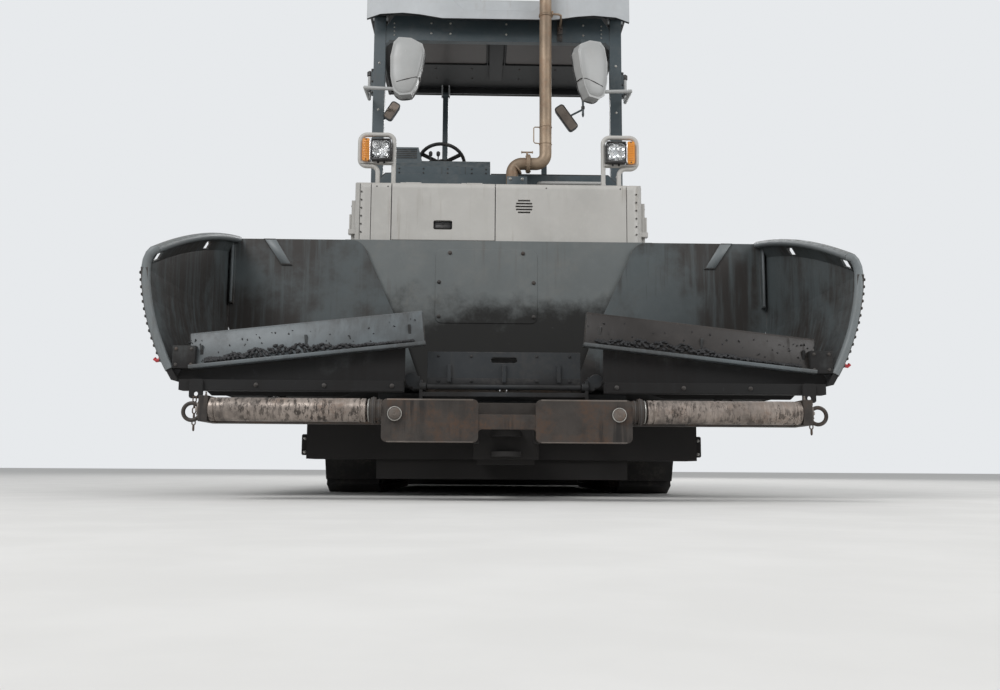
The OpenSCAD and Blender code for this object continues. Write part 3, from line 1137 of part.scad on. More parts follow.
// Extension of the right side: sliding base, guide tube, side plate, walkway and console
ext_x0 = 20;
side_plate_x = [915, 935];
walk_z = 220;
module screed_extension(sleeve_y) {
  along_x(ext_x0, screed_half_w) polygon([[ext_y0 + 30, 0], [ext_y0, 30], [ext_y0, 310], [ext_y0 + 40, 350],
    [ext_y1 - 40, 350], [ext_y1, 310], [ext_y1, 0]]);
  bar_x(-screed_half_w + 90, screed_half_w - 20, sleeve_y, sleeve_z, guide_d);
  box([screed_half_w - 40, ext_y0 + 10, 350], [screed_half_w, ext_y1 - 10, sleeve_z + 55]);
  // Side plate with its runner, and the arm that holds it
  along_x(side_plate_x[0], side_plate_x[1])
    polygon([[auger_y - 120, 60], [auger_y - 60, 0], [ext_y1 + 20, 0], [ext_y1 + 20, 300], [ext_y1 - 60, 360], [auger_y - 120, 330]]);
  box([screed_half_w, ext_y0 + 60, 120], [side_plate_x[0], ext_y1 - 60, 300]);
  // Walkway of the rear, held by two brackets
  box([ext_x0, ext_y1, walk_z - 25], [screed_half_w, rear_y, walk_z]);
  for (x = [120, 760])
    along_x(x, x + 12) polygon([[ext_y1, 80], [ext_y1, walk_z - 25], [rear_y - 10, walk_z - 25]]);
  // Post with the screed's control box
  bar_z(walk_z, 1000, 800, rear_y - 50, 34);
  along_x(680, 880) polygon([[rear_y - 110, 1000], [rear_y - 10, 1000], [rear_y - 10, 1090],
    [rear_y - 110, 1170]]);
}
module screed_left() color("#4a5254") mirror([1, 0, 0]) screed_extension(sleeve_ys[0]);
module screed_right() color("#4a5254") screed_extension(sleeve_ys[1]);

// Lift cylinders between the platform's rear and the screed
lift_l = norm(lift_eye - lift_root);
lift_a = atan2(lift_eye[0] - lift_root[0], lift_root[1] - lift_eye[1]);
lift_barrel_d = 80;
lift_barrel_l = 478;
lift_rod_top = 420;
lift_bore_top = 60;
module lift_frame() translate([lift_x, lift_root[0], lift_root[1]]) rotate([lift_a, 0, 0]) children();
module lift_barrels() color("#4d5254") both_sides() lift_frame() difference() {
  union() {
    rotate([0, 90, 0]) cylinder(r=34, h=36, center=true);
    translate([-18, -24, -60]) cube([36, 48, 60]);
    translate([0, 0, -lift_barrel_l]) cylinder(d=lift_barrel_d, h=lift_barrel_l - 48);
  }
  rotate([0, 90, 0]) cylinder(d=eye_pin_d + 2*pin_gap, h=80, center=true);
  translate([0, 0, -lift_barrel_l - 1]) cylinder(d=44 + 2*pin_gap, h=lift_barrel_l - lift_bore_top);
}
module lift_rods() color("silver") both_sides() lift_frame() difference() {
  union() {
    translate([0, 0, -lift_l + 20]) cylinder(d=44, h=lift_l - 20 - lift_rod_top);
    translate([0, 0, -lift_l]) rotate([0, 90, 0]) cylinder(r=34, h=30, center=true);
  }
  translate([0, 0, -lift_l]) rotate([0, 90, 0]) cylinder(r=16, h=80, center=true);
}

chassis_frame();
front_box();
hopper_wall();
tunnel();
conveyors();
engine_block();
body_tanks();
hood_shell();
hood_flap();
hood_door_left();
hood_door_right();
lamp_guards();
headlamps();
indicators();
exhaust_elbow();
exhaust_stack();
platform();
bulkhead();
console();
steering_wheel();
seat_frames();
seat_cushions();
rear_frame();
track_left();
track_right();
track_frames();
track_wheels();
push_beam();
coupling();
push_roller_left();
push_roller_right();
apron();
wing_left();
wing_right();
chain_left();
chain_right();
wing_barrel_left();
wing_rod_left();
wing_barrel_right();
wing_rod_right();
canopy_frame();
mirrors();
rear_posts();
roof();
roof_liner();
auger_frame();
auger_left();
auger_right();
tow_sliders();
tow_arms();
screed_main();
screed_left();
screed_right();
lift_barrels();
lift_rods();
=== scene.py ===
from itertools import product
from math import atan2, cos, exp, pi, radians, sin, sqrt

import bmesh
import bpy
from mathutils import Matrix, Quaternion, Vector
from mathutils.bvhtree import BVHTree


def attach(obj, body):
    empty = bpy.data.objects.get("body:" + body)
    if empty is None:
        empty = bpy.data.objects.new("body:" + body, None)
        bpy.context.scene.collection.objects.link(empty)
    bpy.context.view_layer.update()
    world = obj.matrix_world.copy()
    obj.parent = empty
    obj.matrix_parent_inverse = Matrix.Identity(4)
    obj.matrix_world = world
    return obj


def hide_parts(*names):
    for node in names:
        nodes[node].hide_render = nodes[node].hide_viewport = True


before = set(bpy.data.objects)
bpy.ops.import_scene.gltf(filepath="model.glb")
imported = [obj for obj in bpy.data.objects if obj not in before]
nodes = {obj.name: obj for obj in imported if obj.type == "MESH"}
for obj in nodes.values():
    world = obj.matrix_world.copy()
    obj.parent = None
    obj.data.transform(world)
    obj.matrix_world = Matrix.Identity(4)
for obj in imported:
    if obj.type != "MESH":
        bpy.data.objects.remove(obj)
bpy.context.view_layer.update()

scene = bpy.context.scene

# The camera stands low on the road in front of the push beam, as the photographer did
PHOTO_W = 1000
FOCAL_PX = 970
CAMERA_AT = Vector((-0.11, -6.35, 0.13))
PITCH, YAW, ROLL = radians(7.28), radians(1.18), radians(0.35)

camera_data = bpy.data.cameras.new("camera")
camera_data.sensor_width = 36
camera_data.lens = FOCAL_PX / PHOTO_W * camera_data.sensor_width
camera_data.clip_start, camera_data.clip_end = 0.05, 200
camera = bpy.data.objects.new("camera", camera_data)
scene.collection.objects.link(camera)
camera.location = CAMERA_AT
look = Vector((sin(YAW) * cos(PITCH), cos(YAW) * cos(PITCH), sin(PITCH)))
camera.rotation_mode = "QUATERNION"
camera.rotation_quaternion = look.to_track_quat("-Z", "Y") @ Quaternion((0, 0, 1), ROLL)
scene.camera = camera
scene.view_settings.view_transform = "Standard"

# Places and sizes in metres that part.scad also gives
FLOOR_Z = 1.45
TRACK_X = 0.7875


def link(obj):
    scene.collection.objects.link(obj)
    return obj


def smoothed(mesh, angle=35):
    """Smooth faces, with edges sharper than the angle kept sharp."""
    mesh.shade_smooth()
    mesh.set_sharp_from_angle(angle=radians(angle))


def towards(axis):
    """The turn that lays the local Z along an axis."""
    return Vector(axis).to_track_quat("Z", "Y").to_matrix().to_4x4()


def standing(at, axis):
    """A place with the local Z along an axis."""
    return Matrix.Translation(at) @ towards(axis)


def shift(x, y, z):
    return Matrix.Translation((x, y, z))


def turned(degrees, axis):
    return Matrix.Rotation(radians(degrees), 4, axis)


def on_circle(r, degrees):
    """A place at radius r, at an angle round the local Z."""
    return shift(r * cos(radians(degrees)), r * sin(radians(degrees)), 0)


def steps(start, step, n):
    return [start + k * step for k in range(n)]


class Shape:
    """Collects solids, so that like pieces on one body become one piece."""

    def __init__(self):
        self.bm = bmesh.new()

    def place(self, verts, matrix):
        if matrix is not None:
            bmesh.ops.transform(self.bm, matrix=matrix, verts=verts)

    def skin(self, rows, closed=False, ends=True):
        """Faces between rows of points that go round, and over both ends."""
        n = len(rows[0])
        for lower, upper in list(zip(rows, rows[1:])) + ([(rows[-1], rows[0])] if closed else []):
            for i in range(n):
                k = (i + 1) % n
                self.bm.faces.new((lower[i], lower[k], upper[k], upper[i]))
        if ends and not closed:
            self.bm.faces.new(rows[0][::-1])
            self.bm.faces.new(rows[-1])

    def box(self, lo, hi, r, segments=2, matrix=None):
        """A box between any two opposite corners, with its edges rounded."""
        lo, hi = Vector(map(min, lo, hi)), Vector(map(max, lo, hi))
        size = hi - lo
        verts = bmesh.ops.create_cube(self.bm, size=1)["verts"]
        bmesh.ops.scale(self.bm, vec=size, verts=verts)
        bmesh.ops.translate(self.bm, vec=(lo + hi) / 2, verts=verts)
        if r > 0:
            edges = list({e for v in verts for e in v.link_edges})
            made = bmesh.ops.bevel(self.bm, geom=edges, offset=min(r, min(size) * 0.49),
                                   segments=segments, affect="EDGES", profile=0.5)
            verts = list({v for f in made["faces"] for v in f.verts} | {v for v in verts if v.is_valid})
        self.place(verts, matrix)

    def cylinder(self, a, b, d, segments, d2=None, r=0.0):
        """A round bar from a to b, with its rims rounded by r."""
        a, b = Vector(a), Vector(b)
        length = (b - a).length
        r1, r2 = d / 2, (d if d2 is None else d2) / 2
        profile = [(0, r1), (length, r2)]
        if r > 0:
            profile = [(0, r1 - r), (r, r1), (length - r, r2), (length, r2 - r)]
        self.lathe(profile, segments, standing(a, b - a))

    def bar(self, a, axis, end, *args, matrix=None, **rest):
        """A round bar from a to where its coordinate on the axis is end."""
        b = list(a)
        b["XYZ".index(axis)] = end
        if matrix is not None:
            a, b = matrix @ Vector(a), matrix @ Vector(b)
        self.cylinder(a, b, *args, **rest)

    def disc(self, heights, r, tip, segments, matrix):
        """A flat head with a small chamfer: three heights, a radius and the top's radius."""
        low, high, top = heights
        self.lathe([(low, r), (high, r), (top, tip)], segments, matrix)

    def lathe(self, profile, segments, matrix, ends=True):
        """A solid of revolution: profile is (height, radius) along the local Z."""
        angles = [2 * pi * i / segments for i in range(segments)]
        self.skin([[self.bm.verts.new(matrix @ Vector((r * cos(a), r * sin(a), h))) for a in angles]
                   for h, r in profile], ends=ends)

    def ring(self, centre, axis, r, d, segments, around):
        """A round ring, such as an eye or a rim."""
        matrix = standing(centre, axis)
        rows = []
        for a in (2 * pi * i / segments for i in range(segments)):
            row = [(r + d / 2 * cos(b), d / 2 * sin(b)) for b in (2 * pi * j / around for j in range(around))]
            rows.append([self.bm.verts.new(matrix @ Vector((u * cos(a), u * sin(a), v))) for u, v in row])
        self.skin(rows, True)

    def tube(self, points, d, around, closed=False):
        """A round tube along points, closed at its ends."""
        pts = [Vector(p) for p in points]
        n = len(pts)
        rows = []
        normal = None
        for i, p in enumerate(pts):
            before = pts[i - 1] if closed or i > 0 else p
            after = pts[(i + 1) % n] if closed or i < n - 1 else p
            t = (after - before).normalized()
            if normal is None:
                normal = t.orthogonal().normalized()
            normal = (normal - t * normal.dot(t)).normalized()
            side = t.cross(normal)
            rows.append([self.bm.verts.new(p + (normal * cos(a) + side * sin(a)) * d / 2)
                         for a in (2 * pi * j / around for j in range(around))])
        self.skin(rows, closed)

    def prism(self, outline, matrix, depth, r=0.0, segments=2):
        """An outline in the local XY plane carried along the local Z by depth, with rounded edges."""
        low = [self.bm.verts.new(Vector((x, y, 0))) for x, y in outline]
        high = [self.bm.verts.new(Vector((x, y, depth))) for x, y in outline]
        faces = [self.bm.faces.new(list(reversed(low))), self.bm.faces.new(high)]
        n = len(outline)
        for i in range(n):
            k = (i + 1) % n
            faces.append(self.bm.faces.new((low[i], low[k], high[k], high[i])))
        verts = low + high
        if r > 0:
            edges = list({e for f in faces[:2] for e in f.edges})
            made = bmesh.ops.bevel(self.bm, geom=edges, offset=r, segments=segments, affect="EDGES",
                                   profile=0.5)
            verts = list({v for v in verts if v.is_valid} | {v for f in made["faces"] for v in f.verts})
        self.place(verts, matrix)

    def bolt(self, at, axis, d, washer=True):
        """A hexagon head with its washer, standing on a face."""
        base = standing(at, axis)
        h = 0.0
        if washer:
            self.lathe([(-0.001, d * 1.12), (d * 0.13, d * 1.12), (d * 0.16, d * 1.05)], 20, base)
            h = d * 0.15
        r = d * 0.9
        self.lathe([(h, r), (h + d * 0.56, r), (h + d * 0.64, r * 0.86)], 6, base)
        self.lathe([(h + d * 0.6, r * 0.52), (h + d * 0.72, r * 0.5), (h + d * 0.76, r * 0.42)], 14, base)

    def bolts(self, xs, ys, zs, axis, d, washer=True):
        """A bolt at each place of a grid, where a lone number stands for itself."""
        for at in product(*(c if hasattr(c, "__len__") else (c,) for c in (xs, ys, zs))):
            self.bolt(at, axis, d, washer)

    def piece(self, name, material, slot=None, body="machine", angle=35):
        bmesh.ops.recalc_face_normals(self.bm, faces=self.bm.faces)
        mesh = bpy.data.meshes.new(name)
        self.bm.to_mesh(mesh)
        self.bm.free()
        smoothed(mesh, angle)
        obj = link(bpy.data.objects.new(name, mesh))
        mesh.materials.append(material)
        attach(obj, body)
        return obj


def shapes(n):
    return [Shape() for _ in range(n)]


# Materials: every one is made of nodes on the object's own coordinates
class Nodes:
    """Short names for the shader nodes that the materials use."""

    def __init__(self, name):
        self.material = bpy.data.materials.new(name)
        self.material.use_nodes = True
        self.tree = self.material.node_tree
        self.shader = self.tree.nodes["Principled BSDF"]
        self.coords = self.tree.nodes.new("ShaderNodeTexCoord")
        self.geometry = self.tree.nodes.new("ShaderNodeNewGeometry")
        self.place = self.coords.outputs["Object"]
        self.normal = None

    def link(self, a, b):
        self.tree.links.new(a, b)

    def value(self, socket, source):
        """Sets a socket to a number or colour, or joins it to another socket."""
        if hasattr(source, "is_linked"):
            self.link(source, socket)
        elif hasattr(source, "__len__") and len(source) == 3 and len(socket.default_value) == 4:
            socket.default_value = (*source, 1)
        else:
            socket.default_value = source

    def new(self, kind, **inputs):
        """A new node with the named inputs set, where an underscore stands for a space."""
        node = self.tree.nodes.new("ShaderNode" + kind)
        for name, source in inputs.items():
            self.value(node.inputs[name.replace("_", " ")], source)
        return node

    def scaled(self, scale):
        return self.new("Mapping", Vector=self.place, Scale=scale).outputs["Vector"]

    def noise(self, scale, detail, rough=0.55, at=None, distortion=0.0):
        return self.new("TexNoise", Vector=at or self.place, Scale=scale, Detail=detail, Roughness=rough,
                        Distortion=distortion).outputs["Fac"]

    def voronoi(self, scale):
        return self.new("TexVoronoi", Vector=self.place, Scale=scale).outputs["Distance"]

    def ramp(self, source, low, high, to_low=0.0, to_high=1.0):
        """Maps low..high smoothly to to_low..to_high."""
        node = self.new("MapRange", Value=source, From_Min=low, From_Max=high, To_Min=to_low, To_Max=to_high)
        node.interpolation_type = "SMOOTHSTEP"
        return node.outputs["Result"]

    def math(self, kind, a, b):
        node = self.new("Math")
        node.operation = kind
        self.value(node.inputs[0], a)
        self.value(node.inputs[1], b)
        return node.outputs[0]

    def times(self, *sources):
        out = sources[0]
        for s in sources[1:]:
            out = self.math("MULTIPLY", out, s)
        return out

    def most(self, a, b):
        return self.math("MAXIMUM", a, b)

    def mix(self, fac, a, b):
        """A colour between a and b."""
        node = self.new("Mix", Factor=fac)
        node.data_type = "RGBA"
        self.value(node.inputs[6], a)
        self.value(node.inputs[7], b)
        return node.outputs[2]

    def blend(self, fac, a, b):
        """A number between a and b."""
        node = self.new("Mix", Factor=fac, A=a, B=b)
        return node.outputs[0]

    def axis(self, which, source=None):
        return self.new("SeparateXYZ", Vector=source or self.place).outputs[which]

    def edges(self, radius):
        """Where the surface turns sharply: 1 on edges, 0 on flat faces. Also keeps the rounded normal."""
        node = self.new("Bevel", Radius=radius)
        node.samples = 4
        self.normal = node.outputs["Normal"]
        dot = self.tree.nodes.new("ShaderNodeVectorMath")
        dot.operation = "DOT_PRODUCT"
        self.link(self.normal, dot.inputs[0])
        self.link(self.geometry.outputs["Normal"], dot.inputs[1])
        return self.ramp(self.math("SUBTRACT", 1.0, dot.outputs["Value"]), 0.02, 0.2)

    def bump(self, height, strength, distance):
        node = self.new("Bump", Strength=strength, Distance=distance, Height=height)
        if self.normal is not None:
            self.link(self.normal, node.inputs["Normal"])
        self.normal = node.outputs["Normal"]
        self.link(self.normal, self.shader.inputs["Normal"])

    def finish(self, colour, roughness, metallic=0.0):
        self.value(self.shader.inputs["Base Color"], colour)
        self.value(self.shader.inputs["Roughness"], roughness)
        self.value(self.shader.inputs["Metallic"], metallic)
        return self.material


PAINT_EDGE, STEEL_EDGE, PAINT_PEEL = 0.005, 0.004, 0.075


def worn_paint(name, colour, roughness, dust_amount, wear, dust=(0.3, 0.27, 0.23), bare=(0.22, 0.19, 0.17),
               streaks=0.4, streak_colour=(0.1, 0.085, 0.07), darker_below=None, below_colour=(0.018, 0.016, 0.015),
               stain=None, stain_amount=0.9, painted_underside_shade=None):
    """Painted steel with dust, runs, chipped edges and a fine orange peel; it can also be made darker below a
    height and given painted shade on downward faces.
    """
    m = Nodes(name)
    edge = m.edges(PAINT_EDGE)
    broad = m.noise(1.7, 6, 0.6)
    fine = m.noise(38, 8, 0.65)
    tone = m.mix(m.ramp(broad, 0.35, 0.7), colour, tuple(c * 0.86 for c in colour))
    tone = m.mix(m.ramp(m.noise(9, 7, 0.7), 0.45, 0.75, 0, 0.35), tone,
                 tuple(min(1, c * 1.12 + 0.01) for c in colour))
    up = m.ramp(m.axis(2, m.coords.outputs["Normal"]), 0.2, 0.9)
    dusty = m.times(m.most(m.times(m.ramp(m.noise(5, 8, 0.7), 0.42, 0.72), 0.55), up),
                    m.ramp(fine, 0.3, 0.62))
    tone = m.mix(m.times(dusty, dust_amount), tone, dust)
    if stain is not None:
        spread = m.blend(m.noise(11, 8, 0.7), -0.1, 0.1)
        spread = m.ramp(m.math("ADD", m.noise(1.35, 5, 0.5, distortion=0.4), spread), 0.4, 0.56)
        tone = m.mix(m.times(spread, m.ramp(m.noise(1.0, 7, 0.6, m.scaled((30, 30, 1.6))), 0.25, 0.55),
                             stain_amount), tone, stain)
    # Downward-facing faces turn to a dark colour: painted shade under the part.
    if painted_underside_shade is not None:
        tone = m.mix(m.ramp(m.axis(2, m.coords.outputs["Normal"]), -0.35, -0.75), tone, painted_underside_shade)
    run = m.noise(1.0, 7, 0.62, m.scaled((26, 26, 1.3)))
    run = m.times(m.ramp(run, 0.53, 0.72), m.ramp(m.noise(2.3, 3), 0.42, 0.66), streaks)
    tone = m.mix(run, tone, streak_colour)
    chip = m.times(edge, m.ramp(m.noise(55, 6, 0.7), 0.46, 0.56), m.ramp(m.noise(4, 4), 0.35, 0.6), wear)
    spot = m.times(m.ramp(m.noise(120, 3, 0.6), 0.7, 0.76), m.ramp(m.noise(6, 4), 0.45, 0.62), wear)
    bareness = m.most(chip, spot)
    tone = m.mix(bareness, tone, bare)
    rough = m.blend(m.most(dusty, run), roughness, 0.8)
    # Darker below a given height, with a ragged edge; on the wings this is painted shade of the recessed face
    # below the ledge.
    if darker_below is not None:
        height = m.math("ADD", m.axis(2), m.blend(m.noise(3.5, 7, 0.65), -0.3, 0.3))
        below_mask = m.times(m.ramp(height, darker_below + 0.12, darker_below - 0.12),
                         m.ramp(m.noise(14, 8, 0.7), 0.1, 0.36))
        tone = m.mix(m.times(below_mask, 0.95), tone, below_colour)
        rough = m.blend(below_mask, rough, 0.9)
    m.bump(m.noise(160, 3, 0.5), PAINT_PEEL, 0.0006)
    m.bump(m.math("SUBTRACT", 1.0, bareness), 0.25, 0.0008)
    return m.finish(tone, rough, m.times(bareness, 0.25))


def bare_steel(name, colour, rust_amount, metallic, dark=(0.07, 0.055, 0.045), rust=(0.23, 0.11, 0.05),
               roughness=0.38, brushed=None, oil=0.0, specks=0.0):
    """Worn steel with rust, dark stains and scratches."""
    m = Nodes(name)
    edge = m.edges(STEEL_EDGE)
    broad = m.noise(4, 8, 0.65)
    grain = m.noise(60, 8, 0.7)
    tone = m.mix(m.ramp(broad, 0.38, 0.66), colour, tuple(c * 0.62 for c in colour))
    if brushed is not None:
        lines = m.noise(1, 5, 0.7, m.scaled(brushed))
        tone = m.mix(m.ramp(lines, 0.35, 0.68, 0, 0.6), tone, tuple(c * 0.45 for c in colour))
    rusty = m.times(m.ramp(m.noise(9, 9, 0.72), 0.46, 0.66), m.ramp(grain, 0.3, 0.6), rust_amount)
    tone = m.mix(rusty, tone, rust)
    stain = m.ramp(m.noise(2.4, 8, 0.7), 0.52, 0.66)
    tone = m.mix(m.times(stain, 0.75), tone, dark)
    if oil > 0:
        run = m.times(m.ramp(m.noise(1, 6, 0.6, m.scaled((30, 30, 2))), 0.5, 0.64),
                      m.ramp(m.noise(3, 3), 0.45, 0.6))
        tone = m.mix(m.times(run, oil), tone, dark)
    if specks > 0:
        spots = m.ramp(m.noise(1, 7, 0.75, m.scaled((64, 24, 24))), 0.485, 0.56)
        tone = m.mix(m.times(spots, m.ramp(m.noise(7, 5), 0.36, 0.6), specks), tone, dark)
    tone = m.mix(m.times(edge, 0.5), tone, tuple(min(1, c * 1.6) for c in colour))
    rough = m.blend(m.most(rusty, m.times(stain, 0.7)), roughness, 0.85)
    m.bump(grain, 0.35, 0.0012)
    m.bump(m.noise(18, 6, 0.6), 0.2, 0.002)
    shine = m.times(m.math("SUBTRACT", 1.0, m.most(rusty, m.times(stain, 0.8))), metallic)
    return m.finish(tone, rough, shine)


def moulded(name, colour, roughness, grain=220, dust_amount=0.3, dust=(0.33, 0.3, 0.27), radius=0.003,
            coat=0.0):
    """Moulded plastic or rubber with a fine grain, dust and faint scuffs."""
    m = Nodes(name)
    m.edges(radius)
    dusty = m.times(m.ramp(m.noise(7, 8, 0.7), 0.42, 0.7), m.ramp(m.noise(70, 6, 0.7), 0.35, 0.6),
                    dust_amount)
    tone = m.mix(m.ramp(m.noise(2.5, 5), 0.35, 0.7, 0, 0.5), colour, tuple(c * 0.78 for c in colour))
    tone = m.mix(dusty, tone, dust)
    scuff = m.times(m.ramp(m.noise(1, 4, 0.6, m.scaled((90, 12, 40))), 0.66, 0.72), 0.35)
    tone = m.mix(scuff, tone, tuple(min(1, c * 1.5 + 0.03) for c in colour))
    m.bump(m.voronoi(grain), 0.12, 0.0005)
    m.shader.inputs["Coat Weight"].default_value = coat
    m.shader.inputs["Coat Roughness"].default_value = 0.12
    return m.finish(tone, m.blend(dusty, roughness, 0.8))


# Floor, soft light and a pale surround
def stage_material():
    m = Nodes("floor")
    tone = m.mix(m.ramp(m.noise(3, 6), 0.35, 0.7), (0.72, 0.71, 0.69), (0.76, 0.75, 0.73))
    return m.finish(tone, 0.9)


floor_mesh = bpy.data.meshes.new("floor")
floor_mesh.from_pydata([(-60, -60, 0), (60, -60, 0), (60, 60, 0), (-60, 60, 0)], [], [(0, 1, 2, 3)])
floor = link(bpy.data.objects.new("floor", floor_mesh))
floor.data.materials.append(stage_material())

world = bpy.data.worlds.new("world")
scene.world = world
world.use_nodes = True
wt = world.node_tree
light_path = wt.nodes.new("ShaderNodeLightPath")
seen = wt.nodes.new("ShaderNodeMath")
seen.operation = "MAXIMUM"
wt.links.new(light_path.outputs["Is Camera Ray"], seen.inputs[0])
wt.links.new(light_path.outputs["Is Transmission Ray"], seen.inputs[1])
strength = wt.nodes.new("ShaderNodeMapRange")
wt.links.new(seen.outputs[0], strength.inputs["Value"])
strength.inputs["To Min"].default_value = 0.62
strength.inputs["To Max"].default_value = 1.0
wt.nodes["Background"].inputs["Color"].default_value = (0.8, 0.82, 0.84, 1)
wt.links.new(strength.outputs[0], wt.nodes["Background"].inputs["Strength"])


def soft_light(name, at, target, size, power):
    data = bpy.data.lights.new(name, "AREA")
    data.shape = "RECTANGLE"
    data.size, data.size_y = size
    data.energy = power
    light = link(bpy.data.objects.new(name, data))
    light.location = at
    light.rotation_euler = (Vector(target) - Vector(at)).to_track_quat("-Z", "Y").to_euler()


soft_light("key_light", (-5.5, -7.5, 7.5), (0, -0.4, 1.2), (6, 4), 520)
soft_light("fill_light", (7.0, -5.0, 5.0), (0, 0, 1.2), (5, 4), 220)
soft_light("rear_light", (2.0, 8.5, 6.5), (0, 0.5, 1.5), (6, 4), 320)

# What each CAD node is made of
slate = worn_paint("slate_paint", (0.05, 0.069, 0.079), 0.36, dust=(0.2, 0.19, 0.175), dust_amount=0.35,
                   wear=0.45)
slate_low = worn_paint("slate_paint_low", (0.055, 0.072, 0.08), 0.45, dust=(0.13, 0.115, 0.1),
                       dust_amount=0.45, wear=0.6, darker_below=0.4)
dark = worn_paint("dark_paint", (0.022, 0.026, 0.03), 0.5, dust=(0.1, 0.088, 0.075), dust_amount=0.4,
                  wear=0.5, darker_below=0.45)
hood_grey = worn_paint("hood_paint", (0.52, 0.505, 0.475), 0.34, dust=(0.36, 0.32, 0.27), dust_amount=0.22,
                       wear=0.25, bare=(0.16, 0.13, 0.11), streaks=0.5, streak_colour=(0.22, 0.18, 0.13))
lower_grey = worn_paint("wall_paint", (0.15, 0.165, 0.165), 0.45, dust_amount=0.3, wear=0.4, streaks=0.5,
                        darker_below=1.1, below_colour=(0.014, 0.013, 0.012))
# The roof's downward faces get painted shade, near black.
roof_white = worn_paint("roof_paint", (0.48, 0.5, 0.515), 0.4, dust_amount=0.25, wear=0.12, streaks=0.25,
                        streak_colour=(0.3, 0.27, 0.24), painted_underside_shade=(0.02, 0.021, 0.023))
# Near black below 0.72 m: painted shade of the recessed face under the front ledge.
wing_paint = worn_paint("wing_paint", (0.088, 0.104, 0.108), 0.46, dust=(0.1, 0.08, 0.065), dust_amount=0.4,
                        wear=0.8, bare=(0.17, 0.13, 0.1), streaks=0.8, streak_colour=(0.03, 0.024, 0.02),
                        darker_below=0.72, below_colour=(0.012, 0.011, 0.011), stain=(0.03, 0.023, 0.019))
beam_steel = bare_steel("beam_steel", (0.062, 0.052, 0.045), dark=(0.014, 0.012, 0.011),
                        rust=(0.095, 0.048, 0.025), rust_amount=0.65, oil=0.9, metallic=0.25, roughness=0.5)
roller_steel = bare_steel("roller_steel", (0.48, 0.41, 0.36), dark=(0.04, 0.032, 0.027),
                          rust=(0.15, 0.085, 0.05), rust_amount=0.6, roughness=0.36, metallic=0.55,
                          brushed=(110, 3, 3), specks=0.9)
cast_iron = bare_steel("cast_iron", (0.1, 0.092, 0.085), dark=(0.02, 0.018, 0.017), rust_amount=0.35,
                       metallic=0.3, roughness=0.6)
track_rubber = moulded("track_rubber", (0.022, 0.021, 0.02), 0.75, 90, dust_amount=0.55,
                       dust=(0.12, 0.105, 0.09))
auger_steel = bare_steel("auger_steel", (0.33, 0.29, 0.25), rust_amount=0.4, metallic=0.7,
                         brushed=(8, 50, 50))
conveyor_steel = bare_steel("conveyor_steel", (0.22, 0.19, 0.165), rust_amount=0.5, metallic=0.6,
                            brushed=(40, 2, 40))
exhaust_tan = bare_steel("exhaust_steel", (0.36, 0.27, 0.19), dark=(0.13, 0.08, 0.05),
                         rust=(0.28, 0.15, 0.08), rust_amount=0.55, metallic=0.45, roughness=0.5)
black_plastic = moulded("black_plastic", (0.018, 0.018, 0.019), 0.42)
mirror_shell = moulded("mirror_shell", (0.4, 0.405, 0.4), 0.36, dust_amount=0.18)
chrome = bare_steel("rod_chrome", (0.62, 0.62, 0.62), rust_amount=0.06, metallic=0.95, roughness=0.16)
# The liner is a glossy brown, made darker than its own colour: painted shade under the roof.
liner_brown_shaded = moulded("liner_brown_shaded", (0.018, 0.01, 0.0075), 0.42, 400, dust_amount=0.04, coat=0.05)
amber = moulded("amber_lens", (0.8, 0.3, 0.03), 0.25, 500, dust_amount=0.12, coat=0.6)

CAD_MATERIALS = {
    slate: ["body_tanks", "bulkhead", "console", "platform", "rear_frame", "canopy_frame", "rear_posts",
            "wing_barrel_left", "wing_barrel_right", "lift_barrels", "tow_arms"],
    slate_low: ["screed_main", "screed_left", "screed_right"],
    dark: ["chassis_frame", "front_box", "tunnel", "apron", "track_frames", "auger_frame", "tow_sliders",
           "seat_frames", "engine_block", "coupling"],
    hood_grey: ["hood_shell", "hood_flap", "hood_door_left", "hood_door_right", "lamp_guards"],
    lower_grey: ["hopper_wall"],
    roof_white: ["roof"],
    wing_paint: ["wing_left", "wing_right"],
    beam_steel: ["push_beam"],
    roller_steel: ["push_roller_left", "push_roller_right"],
    cast_iron: ["track_wheels", "chain_left", "chain_right"],
    track_rubber: ["track_left", "track_right"],
    auger_steel: ["auger_left", "auger_right"],
    conveyor_steel: ["conveyors"],
    exhaust_tan: ["exhaust_elbow", "exhaust_stack"],
    black_plastic: ["headlamps", "steering_wheel", "seat_cushions"],
    mirror_shell: ["mirrors"],
    chrome: ["wing_rod_left", "wing_rod_right", "lift_rods"],
    liner_brown_shaded: ["roof_liner"],
    amber: ["indicators"],
}
for material, names in CAD_MATERIALS.items():
    for node_name in names:
        mesh = nodes[node_name].data
        mesh.materials.clear()
        mesh.materials.append(material)
        smoothed(mesh)

# Short ways to place flat outlines: their XY plane becomes the front (XZ) or the side (YZ)
FRONT = Matrix(((1, 0, 0, 0), (0, 0, -1, 0), (0, 1, 0, 0), (0, 0, 0, 1)))
SIDE = Matrix(((0, 0, 1, 0), (1, 0, 0, 0), (0, 1, 0, 0), (0, 0, 0, 1)))
MIRRORED = Matrix.Scale(-1, 4, (1, 0, 0))
SIDE_OF = {1: SIDE, -1: MIRRORED @ SIDE}
SIDES = ((-1, "left"), (1, "right"))
AHEAD, BEHIND, UP, DOWN, ACROSS = (0, -1, 0), (0, 1, 0), (0, 0, 1), (0, 0, -1), (1, 0, 0)


def facing_front(y):
    """Outline in x and z, carried from y towards the front."""
    return shift(0, y, 0) @ FRONT


def facing_side(x, s):
    """Outline in y and z, carried from x outwards."""
    return shift(x, 0, 0) @ SIDE_OF[s]


